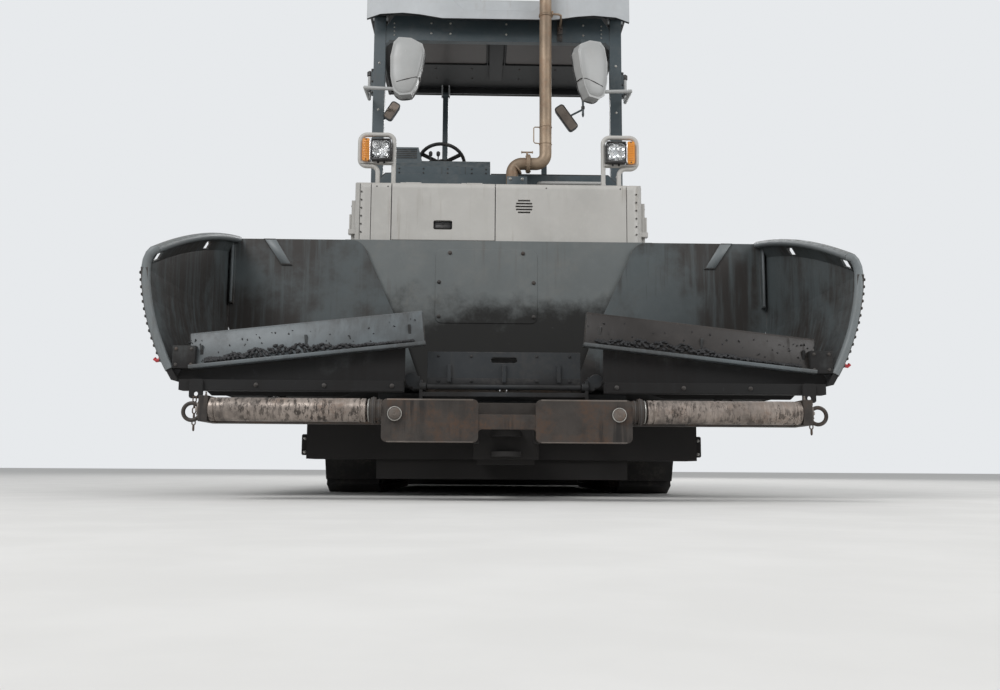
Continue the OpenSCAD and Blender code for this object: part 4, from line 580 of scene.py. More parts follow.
def round_box(x0, y0, x1, y1, r, n=6):
    """Corner points of a rectangle with round corners."""
    points = []
    for cx, cy, a0 in ((x1 - r, y1 - r, 0), (x0 + r, y1 - r, 90), (x0 + r, y0 + r, 180),
                       (x1 - r, y0 + r, 270)):
        for i in range(n + 1):
            a = radians(a0 + 90 * i / n)
            points.append((cx + r * cos(a), cy + r * sin(a)))
    return points


# The short chains at the wings' front corners, each a free chain that hangs from its eye
CHAIN_AT, CHAIN_Z, CHAIN_D, CHAIN_LINKS = (1.36, -2.072), (0.288, 0.438), 0.02, 6
chain_iron = bare_steel("chain_iron", (0.13, 0.1, 0.08), dark=(0.03, 0.022, 0.018), rust=(0.2, 0.09, 0.04),
                        rust_amount=0.7, metallic=0.4, roughness=0.6)


def chain_link(shape, at, length, d, across):
    """One oval link that hangs upright, turned to lie along x or y."""
    half = length / 2 - CHAIN_D / 2
    line = []
    for end, a0 in ((half, 0), (-half, 180)):
        for i in range(7):
            a = radians(a0 + 30 * i)
            line.append(((CHAIN_D - d) / 2 * cos(a), end + (CHAIN_D - d) / 2 * sin(a)))
    shape.tube([Vector(at) + (Vector((u, 0, v)) if across else Vector((0, u, v))) for u, v in line], d, 8,
               True)


for s, side in SIDES:
    links = Shape()
    step = (CHAIN_Z[1] - CHAIN_Z[0]) / CHAIN_LINKS
    for i in range(CHAIN_LINKS):
        at = (s * CHAIN_AT[0], CHAIN_AT[1], CHAIN_Z[1] - (i + 0.5) * step)
        chain_link(links, at, step + 0.0065, 0.0058, i % 2 == 0)
    chain = links.piece("chain_%s_links" % side, chain_iron, body="wing_" + side)
    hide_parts("chain_" + side)

# More materials for the pieces that Blender adds
glass_dust = Nodes("lamp_glass")
smear = glass_dust.times(glass_dust.ramp(glass_dust.noise(30, 7, 0.7), 0.45, 0.7), 0.35)
glass_dust.shader.inputs["Transmission Weight"].default_value = 1.0
glass_dust.shader.inputs["IOR"].default_value = 1.45
glass_dust.bump(glass_dust.noise(140, 2), 0.08, 0.0005)
lamp_glass = glass_dust.finish(glass_dust.mix(smear, (0.96, 0.97, 0.98), (0.62, 0.6, 0.56)),
                               glass_dust.blend(smear, 0.03, 0.5))
reflector = bare_steel("reflector", (0.86, 0.86, 0.85), dark=(0.4, 0.39, 0.37), rust_amount=0.0, metallic=0.9,
                       roughness=0.12)
mirror_glass = bare_steel("mirror_glass", (0.3, 0.25, 0.21), dark=(0.14, 0.11, 0.09), rust_amount=0.0,
                          metallic=0.9, roughness=0.08)
zinc = bare_steel("zinc_bolts", (0.5, 0.49, 0.46), dark=(0.14, 0.12, 0.1), rust_amount=0.25, metallic=0.75,
                  roughness=0.36)
dark_bolt = bare_steel("dark_bolts", (0.075, 0.07, 0.066), dark=(0.02, 0.018, 0.017), rust_amount=0.3,
                       metallic=0.3, roughness=0.55)
rubber = moulded("rubber", (0.014, 0.014, 0.015), 0.65, 160, dust_amount=0.35, dust=(0.12, 0.11, 0.1))
ceiling_black = moulded("ceiling_black", (0.009, 0.01, 0.011), 0.6, 300, dust_amount=0.06,
                        dust=(0.04, 0.04, 0.04))
red_plastic = moulded("red_handle", (0.55, 0.03, 0.04), 0.4, 200, dust_amount=0.4, dust=(0.16, 0.06, 0.05))
arm_grey = moulded("arm_grey", (0.42, 0.42, 0.41), 0.4, 200, dust_amount=0.2)
crumb = bare_steel("stuck_mix", (0.028, 0.028, 0.03), dark=(0.012, 0.012, 0.013), rust_amount=0.0,
                   metallic=0.1, roughness=0.55)
# Lighter blue-grey than the wing's paint: on the left lip's face this is a painted reflection of the sky.
lip_paint = worn_paint("lip_paint", (0.125, 0.145, 0.155), 0.42, dust=(0.12, 0.1, 0.088), dust_amount=0.5,
                       wear=0.9, bare=(0.05, 0.04, 0.034), streaks=0.5, streak_colour=(0.03, 0.026, 0.023),
                       stain=(0.04, 0.034, 0.03), stain_amount=0.55)
lip_burnt = worn_paint("lip_burnt", (0.032, 0.028, 0.026), 0.42, dust=(0.06, 0.048, 0.04), dust_amount=0.5,
                       wear=0.9, bare=(0.15, 0.11, 0.085), streaks=0.7, streak_colour=(0.02, 0.016, 0.014),
                       stain=(0.018, 0.014, 0.012))
display = moulded("display_panel", (0.03, 0.033, 0.035), 0.18, 500, dust_amount=0.2, coat=0.6)
button_grey = moulded("button_grey", (0.33, 0.33, 0.32), 0.45, 300, dust_amount=0.25)

# Work lamps: bowls behind a clear cover in a black frame, and ribs on the amber lens
LAMP_Y = -0.25
LENS_X, LENS_Z = (0.704, 0.816), (2.11, 2.229)
bowls, covers, frames, ribs = shapes(4)
for s in (-1, 1):
    for cx in (0.73, 0.79):
        for cz in (2.14, 2.199):
            at = shift(s * cx, LAMP_Y - 0.0345, cz) @ FRONT
            bowls.lathe([(0, 0.0275), (0.012, 0.0275), (0.012, 0.0262), (0.007, 0.019), (0.003, 0.01),
                         (0.0015, 0.002)], 28, at)
            bowls.lathe([(0.0015, 0.006), (0.008, 0.005), (0.01, 0.003)], 16, at)
    bowls.box((s * LENS_X[0], LAMP_Y - 0.037, LENS_Z[0]), (s * LENS_X[1], LAMP_Y - 0.0345, LENS_Z[1]), 0.001)
    outline = [(s * x, z) for x, z in round_box(LENS_X[0], LENS_Z[0], LENS_X[1], LENS_Z[1], 0.008)]
    covers.prism(outline if s > 0 else outline[::-1], facing_front(LAMP_Y - 0.0475), 0.004, 0.0012)
    for rim in ((0.697, 2.096, 0.704, 2.239), (0.816, 2.096, 0.823, 2.239),
                (0.704, 2.096, 0.816, 2.109), (0.704, 2.23, 0.816, 2.239)):
        frames.box((s * rim[0], LAMP_Y - 0.056, rim[1]), (s * rim[2], LAMP_Y - 0.049, rim[3]), 0.0025)
    for k in range(9):
        frames.box((s * 0.702, LAMP_Y + 0.05, 2.11 + k * 0.0135),
                   (s * 0.818, LAMP_Y + 0.066, 2.1145 + k * 0.0135), 0.001)
    for k in range(10):
        ribs.box((s * 0.8405, LAMP_Y - 0.0425, 2.117 + k * 0.0115),
                 (s * 0.875, LAMP_Y - 0.0395, 2.1225 + k * 0.0115), 0.0012)
    frames.bolts(s * 0.8575, LAMP_Y - 0.0405, (2.104, 2.238), AHEAD, 0.005, False)
    frames.box((s * 0.8325, LAMP_Y + 0.005, 2.097), (s * 0.8825, LAMP_Y + 0.045, 2.246), 0.004)
    # Bolts of the lamp's bracket and the guard's feet
    frames.bolts((s * 0.74, s * 0.78), LAMP_Y - 0.0205, 2.089, AHEAD, 0.006)
    for x in (0.68, 0.782):
        for dx, dy in ((-0.022, 0), (0.022, 0), (0, -0.022), (0, 0.022)):
            frames.bolt((s * x + dx, LAMP_Y + dy, 1.936), UP, 0.006)
bowls.piece("lamp_bowls", reflector, "rod_chrome", angle=50)
covers.piece("lamp_covers", lamp_glass)
frames.piece("lamp_frames", black_plastic, "black_plastic")
ribs.piece("indicator_ribs", amber, "amber")

# Hood: screws, a seal below the front, the vent's and the handle's backing, and the latches
HOOD_FRONT, HOOD_HALF, DOOR_FACE = -0.39, 0.913, 0.935
screws, seals, latch = shapes(3)
for x in (-0.866, 0.871):
    for k in range(6):
        screws.disc((-0.001, 0.0012, 0.0022), 0.0055, 0.0035, 14,
                    shift(x, HOOD_FRONT, 1.6 + k * 0.052) @ FRONT)
for x in (-0.77, -0.7, 0.3, 0.77):
    for z in (1.535, 1.895):
        screws.disc((-0.001, 0.001, 0.0018), 0.0045, 0.003, 12, shift(x, HOOD_FRONT, z) @ FRONT)
seals.box((-HOOD_HALF + 0.03, HOOD_FRONT + 0.001, 1.5085), (HOOD_HALF - 0.03, HOOD_FRONT + 0.028, 1.5135),
          0.001)
seals.box((0.1, HOOD_FRONT + 0.0135, 1.714), (0.22, HOOD_FRONT + 0.0145, 1.834), 0.0003)
seals.box((-0.409, HOOD_FRONT + 0.0145, 1.622), (-0.294, HOOD_FRONT + 0.0158, 1.676), 0.0003)
latch.prism(round_box(-0.398, 1.628, -0.305, 1.65, 0.007), facing_front(HOOD_FRONT + 0.0145), 0.009, 0.002)
latch.disc((0, 0.004, 0.005), 0.006, 0.004, 16, shift(-0.352, HOOD_FRONT + 0.0145, 1.664) @ FRONT)
screws.piece("hood_screws", dark_bolt, "cast", angle=50)
seals.piece("hood_seals", rubber, "black_plastic")
latch.piece("flap_latch", black_plastic, "black_plastic", "hood_flap")
for s, side in SIDES:
    door = Shape()
    door.prism(round_box(0.035, 1.63, 0.065, 1.73, 0.01), facing_side(s * (DOOR_FACE - 0.0095), s), 0.007,
               0.002)
    door.disc((0, 0.008, 0.009), 0.008, 0.006, 18,
              standing((s * (DOOR_FACE - 0.0095), 0.05, 1.752), (s, 0, 0)))
    door.bolts(s * DOOR_FACE, (-0.29, 0.1), (1.16, 1.79), (s, 0, 0), 0.007)
    door.piece("door_latch_" + side, black_plastic, "black_plastic", "hood_door_" + side)

# Fixed wall: the hatch's bolts, and a row on the ledge
WALL_Y = -0.568
wall_bolts = Shape()
wall_bolts.bolts((-0.298, 0.146), WALL_Y, 1.431, AHEAD, 0.011)
wall_bolts.bolts((-0.362, 0.211), WALL_Y, (1.04, 1.25), AHEAD, 0.011)
wall_bolts.bolts(steps(-0.85, 0.17, 11), -0.475, 1.508, UP, 0.009)
wall_bolts.piece("wall_bolts", dark_bolt, "cast")

# Exhaust: flange bolts and clamp, base bracket, stack handle, joint rings and the latch on the canopy's beam
STACK = (0.33, 0.13)
FLANGE_X, STACK_Z = 0.21, 2.22
elbow_parts, stack_parts, strap_parts = shapes(3)
for k in range(6):
    a = radians(30 + 60 * k)
    y, z = STACK[1] + 0.054 * cos(a), STACK_Z + 0.054 * sin(a)
    elbow_parts.bolt((FLANGE_X - 0.012, y, z), (-1, 0, 0), 0.007)
    stack_parts.bolt((FLANGE_X + 0.012, y, z), (1, 0, 0), 0.007)
elbow_parts.disc((0, 0.01, 0.012), 0.046, 0.043, 40, standing((0.128, STACK[1], 2.178), (0.75, 0, 0.66)))
# T handle on the flange's top
elbow_parts.bar((0.203, STACK[1], 2.283), "Z", 2.306, 0.014, 16)
elbow_parts.bar((0.165, STACK[1], 2.303), "X", 0.241, 0.011, 14, r=0.002)
for x in (0.166, 0.24):
    elbow_parts.lathe([(-0.004, 0.005), (-0.002, 0.009), (0.002, 0.009), (0.004, 0.005)], 14,
                      standing((x, STACK[1], 2.303), (1, 0, 0)))
stack_parts.tube([(0.291, 0.118, 2.362), (0.255, 0.112, 2.364), (0.2475, 0.11, 2.372), (0.2475, 0.11, 2.47),
                  (0.255, 0.112, 2.478), (0.291, 0.118, 2.48)], 0.008, 10)
for z in (2.36, 2.482):
    stack_parts.ring((STACK[0], STACK[1], z), UP, 0.0425, 0.006, 40, 8)
for z in (3.292, 3.304):
    stack_parts.ring((STACK[0], STACK[1], z), UP, 0.0445, 0.006, 40, 8)
elbow_parts.piece("elbow_fittings", exhaust_tan, "exhaust_steel")
base = Shape()
base.box((0.062, 0.078, 1.934), (0.202, 0.086, 2.116), 0.003)
base.box((0.062, 0.086, 1.934), (0.202, 0.094, 1.946), 0.002)
base.piece("exhaust_bracket", slate, "slate_paint")
base_bolts = Shape()
base_bolts.bolts((0.086, 0.168), 0.078, 2.096, AHEAD, 0.01)
base_bolts.bolts((0.075, 0.188), 0.078, 1.99, AHEAD, 0.01)
base_bolts.piece("exhaust_bracket_bolts", zinc, "cast")
# The latch on the beam's front, with its arm that ends beside the stack
BEAM_Y = 0.355
strap_parts.box((0.428, BEAM_Y - 0.016, 3.262), (0.47, BEAM_Y - 0.0002, 3.372), 0.005)
strap_parts.box((0.43, BEAM_Y - 0.006, 3.212), (0.468, BEAM_Y - 0.0002, 3.266), 0.002)
strap_parts.box((0.434, BEAM_Y - 0.038, 3.296), (0.462, BEAM_Y - 0.014, 3.33), 0.004)
stack_parts.tube([(0.448, BEAM_Y - 0.04, 3.313), (0.448, BEAM_Y - 0.12, 3.313), (0.44, 0.15, 3.313),
                  (0.42, 0.132, 3.313), (0.379, 0.13, 3.313)], 0.015, 12)
stack_parts.box((0.372, 0.105, 3.3), (0.384, 0.155, 3.326), 0.002)
strap_parts.bar((0.442, BEAM_Y - 0.026, 3.275), "Z", 3.352, 0.012, 14, r=0.002)
for z, y, d in ((3.226, 0.006, 0.006), (3.246, 0.006, 0.006), (3.345, 0.016, 0.008), (3.362, 0.016, 0.008)):
    strap_parts.bolt((0.449, BEAM_Y - y, z), AHEAD, d)
stack_parts.piece("stack_fittings", exhaust_tan, "exhaust_steel", "exhaust_stack")
strap_parts.piece("stack_latch", dark_bolt, "cast", "canopy")

# Canopy: bolts on the beam and the posts, mirror brackets, mirror seams and glass
POST_Y = 0.38
beam_bolts, brackets, shells, glasses = shapes(4)
beam_bolts.bolts((-0.484, -0.345, 0.06, 0.62), BEAM_Y, (3.262, 3.34), AHEAD, 0.007)
beam_bolts.bolts((-0.752, 0.752), BEAM_Y, steps(3.245, 0.03, 4), AHEAD, 0.005)
for s in (-1, 1):
    beam_bolts.bolts(s * 0.855, POST_Y - 0.03, (2.14, 2.2, 2.68, 3.03), AHEAD, 0.008)
    # Hinge blocks of the mirror's arm, on the bracket plate
    for z in (2.835, 2.955):
        brackets.bar((s * 0.9253, POST_Y, z - 0.018), "Z", z + 0.018, 0.037, 20, r=0.004)
        brackets.box((s * 0.9123, POST_Y - 0.017, z - 0.018), (s * 0.9253, POST_Y + 0.017, z + 0.018), 0.003)
        brackets.bolt((s * 0.9253, POST_Y, z + 0.018), UP, 0.008)
    brackets.bolts(s * 0.904, POST_Y - 0.02, (2.812, 2.895, 2.978), AHEAD, 0.008)
beam_bolts.piece("canopy_bolts", zinc, "cast", "canopy")

MIRROR_AT, MIRROR_TURN = (0.626, 0.09, 2.876), 24
MIRROR_OUTLINE = [(64, 205), (-21, 200), (-100, 158), (-116, 110), (-99, 0), (-64, -135), (-30, -205),
                  (50, -213), (92, -182), (116, -78), (119, 64), (98, 168)]


def soft_outline(points, cut, n):
    """The same outline with each corner rounded."""
    out = []
    for i, p in enumerate(points):
        a, b = Vector(points[i - 1]), Vector(points[(i + 1) % len(points)])
        p = Vector(p)
        start = p + (a - p).normalized() * min(cut, (a - p).length * 0.45)
        end = p + (b - p).normalized() * min(cut, (b - p).length * 0.45)
        for k in range(n + 1):
            t = k / n
            out.append(tuple((1 - t) ** 2 * start + 2 * t * (1 - t) * p + t * t * end))
    return out


def mirror_housing(shape, s, turn):
    """A crowned housing over the CAD head: rings of the outline that shrink towards the front."""
    outline = soft_outline([(x / 1000, z / 1000) for x, z in MIRROR_OUTLINE], 0.028, 4)
    rows = []
    place = shift(s * MIRROR_AT[0], MIRROR_AT[1], MIRROR_AT[2]) @ \
        turned(s * turn, "Z") @ Matrix.Scale(s, 4, (1, 0, 0))
    for y, keep in ((0.041, 0.975), (0.036, 1.0), (-0.02, 1.004), (-0.045, 0.985), (-0.062, 0.93),
                    (-0.071, 0.82), (-0.076, 0.62), (-0.078, 0.34)):
        rows.append([shape.bm.verts.new(place @ Vector((x * keep, y, z * keep))) for x, z in outline])
    shape.skin(rows)
    return place, outline


for s, side in SIDES:
    turn = MIRROR_TURN if s > 0 else 0.0
    place, outline = mirror_housing(shells, s, turn)
    # Dark band where the housing's foot joins, and the glass at the rear
    seam = [place @ Vector((x, y, z))
            for x, y, z in ((-0.0815, 0.02, -0.08), (-0.0815, -0.045, -0.08), (-0.06, -0.0705, -0.086),
                            (0.0, -0.0785, -0.103), (0.07, -0.0725, -0.122), (0.1005, -0.047, -0.132),
                            (0.1015, 0.02, -0.132))]
    brackets.tube(seam, 0.007, 8)
    gasket = [place @ Vector((x * 1.012, 0.03, z * 1.012)) for x, z in outline]
    brackets.tube(gasket, 0.009, 8, True)
    glasses.prism([(x * 0.9, z * 0.92) for x, z in outline], place @ shift(0, 0.044, 0) @ FRONT, 0.004)
shells.piece("mirror_housings", mirror_shell, "grey_plastic", "canopy", 60)

# Small mirrors: black frames round brown glass, over the CAD plates
SMALL_Y = 0.32
for x, z, tilt, half_w, half_h in ((0.491, 2.621, -35, 0.034, 0.1), (-0.754, 2.655, 32, 0.032, 0.066)):
    place = shift(x, SMALL_Y, z) @ turned(tilt, "Y") @ FRONT
    outline = round_box(-half_w, -half_h, half_w, half_h, 0.018)
    brackets.tube([place @ Vector((u, v, 0.015)) for u, v in outline], 0.01, 8, True)
    brackets.prism(outline, place @ shift(0, 0, -0.026), 0.0095, 0.003)
    glasses.prism(round_box(-half_w + 0.003, -half_h + 0.003, half_w - 0.003, half_h - 0.003, 0.016),
                  place @ shift(0, 0, 0.0162), 0.0015)
# The hanging rod's sockets and tip, beside the right mirror
for z, d, h in ((3.15, 0.026, 0.03), (2.86, 0.024, 0.05), (2.75, 0.021, 0.06), (2.69, 0.026, 0.024)):
    brackets.bar((0.612, SMALL_Y, z), "Z", z + h, d, 18, r=0.003)
brackets.bar((0.612, SMALL_Y, 2.655), "Z", 2.632, 0.02, 14, d2=0.006)
brackets.piece("mirror_brackets", black_plastic, "black_plastic", "canopy")
glasses.piece("mirror_glasses", mirror_glass, "rod_chrome", "canopy")

# Roof: dark ceiling with a frame of ribs, trims along the lower edges, and bolts
ROOF_Y, ROOF_X = (0.234, 1.835), 0.911
ceiling, roof_bolts, trims = shapes(3)
ceiling.box((-ROOF_X + 0.001, ROOF_Y[0] + 0.001, 3.4515), (ROOF_X - 0.001, ROOF_Y[1] - 0.001, 3.4595), 0.001)
for s in (-1, 1):
    ceiling.box((s * (ROOF_X - 0.006), ROOF_Y[0] + 0.001, 3.402),
                (s * (ROOF_X - 0.0005), ROOF_Y[1] - 0.001, 3.452), 0.001)
    ceiling.box((s * 0.066, 0.54, 3.436), (s * 0.074, 1.31, 3.452), 0.002)
    ceiling.box((s * 0.706, 0.54, 3.436), (s * 0.718, 1.31, 3.452), 0.002)
for y in (0.532, 1.306):
    ceiling.box((-0.718, y, 3.436), (0.718, y + 0.012, 3.452), 0.002)
ceiling.box((-0.055, 0.45, 3.425), (0.055, 1.6, 3.452), 0.004)
ceiling.box((-0.9, ROOF_Y[0] + 0.0005, 3.345), (0.9, ROOF_Y[0] + 0.0035, 3.452), 0.001)
ceiling.box((-0.905, ROOF_Y[1] - 0.006, 3.401), (0.905, ROOF_Y[1] - 0.0005, 3.452), 0.001)
roof_bolts.bolts((-0.8, -0.5, -0.2, 0.2, 0.5, 0.8), (0.47, 1.42, 1.62), 3.4515, DOWN, 0.007)
ceiling.piece("ceiling", ceiling_black, "liner", "roof")
roof_bolts.piece("ceiling_bolts", dark_bolt, "cast", "roof")
for s in (-1, 1):
    trims.tube([(s * 0.923, 0.236, 3.3995), (s * 0.923, 1.878, 3.3995)], 0.01, 8)
trims.tube([(-0.923, 1.86, 3.3995), (0.923, 1.86, 3.3995)], 0.01, 8)
trims.piece("roof_trims", rubber, "black_plastic", "roof")

# Wings: rows of bolts outside the side wall, edge bolts, handles, and stuck mix on the lips
WING_FRONT, WING_HALF = -2.05, 1.634
LIP_AT, LIP_TILT, LIP_LEN, LIP_H = (0.355, -2.036, 0.69), 6.3, 1.05, 0.15
CRUMBS, SPLASHES = 560, 60


def belly_x(z):
    """The side wall's outer face at a height, as part.scad's curve gives it."""
    a, b, c = (WING_HALF - 0.159, 0.512), (WING_HALF - 0.015, 0.74), (WING_HALF, 1.02)
    if z >= c[1]:
        return c[0]
    t = 0.0
    for _ in range(40):
        h = (1 - t) ** 2 * a[1] + 2 * t * (1 - t) * b[1] + t * t * c[1]
        t += (z - h) / (2 * ((1 - t) * (b[1] - a[1]) + t * (c[1] - b[1])))
        t = min(1.0, max(0.0, t))
    return (1 - t) ** 2 * a[0] + 2 * t * (1 - t) * b[0] + t * t * c[0]


def lip_frame(s):
    """Local x runs down along the right wing's lip; the left wing mirrors it."""
    place = Matrix.Translation(LIP_AT) @ turned(LIP_TILT, "Y")
    return MIRRORED @ place if s < 0 else place


def rough_lump(shape, at, size, seed):
    """A small angular stone of mix."""
    made = bmesh.ops.create_icosphere(shape.bm, subdivisions=1, radius=1)["verts"]
    for i, v in enumerate(made):
        k = sin(seed * 12.9898 + i * 78.233) * 43758.5453
        v.co *= 0.72 + 0.5 * (k % 1)
    turn = Matrix.Rotation(seed * 1.7, 4, "X") @ Matrix.Rotation(seed * 2.3, 4, "Z")
    bmesh.ops.transform(shape.bm, matrix=Matrix.Translation(at) @ turn @ Matrix.Diagonal((*size, 1)),
                        verts=made)


for s, side in SIDES:
    bolts, handle, lumps, lip, face = shapes(5)
    place = lip_frame(s)
    # The front wall's face plate, ledge and its rolled edge
    lip.box((-0.001, -0.0305, -0.0135), (LIP_LEN + 0.001, 0.029, 0.0035), 0.003, matrix=place)
    tilted = place @ turned(-14, "X")
    face.box((0.004, -0.0035, 0.002), (LIP_LEN - 0.004, -0.0002, LIP_H - 0.002), 0.0015, matrix=tilted)
    face.tube([tilted @ Vector((0.003, 0.006, LIP_H)), tilted @ Vector((LIP_LEN - 0.003, 0.006, LIP_H))],
              0.017, 10)
    # Crumbs in the ledge's corner and splashes on the face, denser towards the middle of the machine
    seed = 3.0 if s < 0 else 11.0
    for k in range(CRUMBS):
        u = abs(sin(k * 1.618 + seed))
        w = abs(sin(k * 2.414 + seed * 2))
        along = LIP_LEN * (0.05 + 0.88 * u)
        centre = 0.62 if s < 0 else 0.35
        heap = 0.036 * exp(-((along / LIP_LEN - centre) / 0.26) ** 2) + 0.006
        size = 0.0045 + 0.0055 * abs(sin(k * 3.7 + seed))
        up = heap * w * (0.6 + 0.6 * abs(sin(along * 31)))
        spot = tilted @ Vector((along, -0.006 - 0.015 * abs(sin(k * 5.1)) * (1 - w), 0.006 + up))
        rough_lump(lumps, spot, (size, size * 0.8, size * 0.75), k + seed)
    for k in range(SPLASHES):
        along = LIP_LEN * abs(sin(k * 7.3 + seed))
        up = LIP_H * (0.1 + 0.7 * abs(sin(k * 4.1 + seed)) ** 2)
        size = 0.0022 + 0.003 * abs(sin(k * 2.9))
        rough_lump(lumps, tilted @ Vector((along, -0.0035, up)), (size * 1.4, size * 0.5, size * 1.2),
                   k + 5 * seed)
    # Bolts along the front edge's outer face, and in two rows on the side
    for z in steps(0.6, 0.033, 13):
        bolts.bolt((s * (belly_x(z) + 0.003), WING_FRONT + 0.013, z), (s, 0, 0), 0.008)
    row = steps(WING_FRONT + 0.12, 0.112, 12)
    bolts.bolts(s * belly_x(0.68), row, 0.68, (s * 0.9, 0, -0.35), 0.008)
    bolts.bolts(s * WING_HALF, row, 1.06, (s, 0, 0), 0.008)
    bolts.bolts((s * 1.39, s * 1.458), WING_FRONT, (0.58, 0.65), AHEAD, 0.007)
    bolts.bolts([s * x for x in (0.5, 0.8, 1.1, 1.38)], WING_FRONT, 0.492, AHEAD, 0.009)
    # The handle hangs on a ring below the outer corner
    hx = s * (WING_HALF - 0.098)
    handle.ring((hx, WING_FRONT + 0.03, 0.655), (0.4, 1, 0), 0.015, 0.006, 20, 8)
    handle.ring((hx, WING_FRONT + 0.03, 0.632), (1, 0.3, 0), 0.014, 0.006, 20, 8)
    grip_line = [(hx - s * 0.02, WING_FRONT + 0.03, 0.616), (hx - s * 0.012, WING_FRONT + 0.03, 0.605),
                 (hx + s * 0.016, WING_FRONT + 0.03, 0.6), (hx + s * 0.026, WING_FRONT + 0.03, 0.609)]
    grip = Shape()
    grip.tube(grip_line, 0.017, 10)
    grip.tube([(hx, WING_FRONT + 0.03, 0.62), (hx + s * 0.002, WING_FRONT + 0.03, 0.604)], 0.013, 10)
    lip.piece("wing_ledge_" + side, lip_paint, "wing_paint", "wing_" + side)
    # The left face's lighter paint is a painted sky reflection; the right face is darkened by real asphalt
    # dust.
    face.piece("wing_lip_" + side, lip_paint if s < 0 else lip_burnt, "wing_paint", "wing_" + side)
    lumps.piece("stuck_mix_" + side, crumb, "cast", "wing_" + side, 10)
    bolts.piece("wing_bolts_" + side, dark_bolt, "cast", "wing_" + side)
    handle.piece("handle_rings_" + side, dark_bolt, "cast", "wing_" + side)
    grip.piece("handle_" + side, red_plastic, "amber", "wing_" + side)

# Seats: each cushion is inflated as cloth, capped, subdivided, then gets seams and piping
SEAT_X, SEAT_Y, SEAT_Z, SEAT_TOP = 0.56, 1.08, 1.9, 2.4
vinyl = moulded("seat_vinyl", (0.02, 0.021, 0.023), 0.5, 320, dust_amount=0.35, dust=(0.1, 0.095, 0.09),
                radius=0.006)
piping_mat = moulded("seat_piping", (0.045, 0.047, 0.05), 0.42, 300, dust_amount=0.25)
VOXEL, CUSHION_CAP, CLOTH_FRAMES = 0.006, 0.024, 20
GROOVE_DEPTH, GROOVE_WIDTH = 0.007, 0.009


def evaluated(obj):
    """The mesh of a piece with its modifiers applied."""
    graph = bpy.context.evaluated_depsgraph_get()
    graph.update()
    return bpy.data.meshes.new_from_object(obj.evaluated_get(graph))


def swap_mesh(obj, mesh):
    obj.modifiers.clear()
    obj.data = mesh


def cushion_form(name, outline, matrix, depth, bevel):
    """A rounded block a little smaller than the CAD cushion, as an even voxel mesh."""
    shape = Shape()
    shape.prism(outline, matrix, depth, bevel, 4)
    obj = shape.piece(name, vinyl)
    remesh = obj.modifiers.new("remesh", "REMESH")
    remesh.mode, remesh.voxel_size = "VOXEL", VOXEL
    swap_mesh(obj, evaluated(obj))
    return obj


def inflate(objs):
    """Blows the forms up as cloth, holds each point within the cap, and applies it."""
    before = {}
    for obj in objs:
        before[obj.name] = [v.co.copy() for v in obj.data.vertices]
        cloth = obj.modifiers.new("cloth", "CLOTH")
        cloth.settings.use_pressure = True
        cloth.settings.uniform_pressure_force = 4
        cloth.settings.effector_weights.gravity = 0
        cloth.settings.tension_stiffness = 60
        cloth.settings.compression_stiffness = 60
        cloth.settings.quality = 4
        cloth.point_cache.frame_start, cloth.point_cache.frame_end = 1, CLOTH_FRAMES
    for f in range(1, CLOTH_FRAMES + 1):
        scene.frame_set(f)
    done = {obj.name: evaluated(obj) for obj in objs}
    for obj in objs:
        mesh = done[obj.name]
        for v, start in zip(mesh.vertices, before[obj.name]):
            moved = v.co - start
            if moved.length > CUSHION_CAP:
                v.co = start + moved.normalized() * CUSHION_CAP
        swap_mesh(obj, mesh)
    scene.frame_set(1)


def groove(obj, lines):
    """Presses seams into the cushion: each line is an axis and a place on it, on one face's side."""
    for v in obj.data.vertices:
        push = 0.0
        for which, at, face, sign in lines:
            if sign * (v.co[face[0]] - face[1]) > 0:
                push = max(push, exp(-((v.co[which] - at) / GROOVE_WIDTH) ** 2))
        if push > 0.01:
            face, sign = lines[0][2], lines[0][3]
            v.co[face[0]] -= sign * GROOVE_DEPTH * push


def finer(obj):
    """One subdivision, then fewer faces where it is flat."""
    obj.modifiers.new("subdivision", "SUBSURF").levels = 1
    thin = obj.modifiers.new("thin", "DECIMATE")
    thin.ratio = 0.22
    swap_mesh(obj, evaluated(obj))
    obj.data.shade_smooth()


def nearest(obj, points):
    """The places on a cushion's surface nearest to the points."""
    tree = BVHTree.FromObject(obj, bpy.context.evaluated_depsgraph_get())
    return [tree.find_nearest(Vector(p))[0] for p in points]


pan_outline = [(-SEAT_X + x, y)
               for x, y in round_box(-0.205, SEAT_Y + 0.012, 0.205, SEAT_Y + 0.408, 0.055, 8)]
back_outline = [(-SEAT_X + x, z)
                for x, z in round_box(-0.195, SEAT_Z + 0.05, 0.195, SEAT_TOP - 0.01, 0.065, 8)]
pan = cushion_form("seat_pan_left", pan_outline, shift(0, 0, SEAT_Z - 0.048), 0.074, 0.026)
back = cushion_form("seat_back_left", back_outline, facing_front(SEAT_Y + 0.468), 0.058, 0.024)
inflate([pan, back])
groove(pan, [(0, -SEAT_X - 0.115, (2, SEAT_Z), 1), (0, -SEAT_X + 0.115, (2, SEAT_Z), 1),
             (1, SEAT_Y + 0.145, (2, SEAT_Z), 1), (1, SEAT_Y + 0.275, (2, SEAT_Z), 1)])
groove(back, [(0, -SEAT_X - 0.11, (1, SEAT_Y + 0.44), -1), (0, -SEAT_X + 0.11, (1, SEAT_Y + 0.44), -1),
              (2, SEAT_Z + 0.2, (1, SEAT_Y + 0.44), -1), (2, SEAT_Z + 0.345, (1, SEAT_Y + 0.44), -1)])
for obj in (pan, back):
    finer(obj)
beads = Shape()
beads.tube(nearest(pan, [(x, y, SEAT_Z + 0.04) for x, y in pan_outline]), 0.008, 8, True)
beads.tube(nearest(back, [(x, SEAT_Y + 0.4, z) for x, z in back_outline]), 0.008, 8, True)
bead_left = beads.piece("seat_piping_left", piping_mat, angle=60)
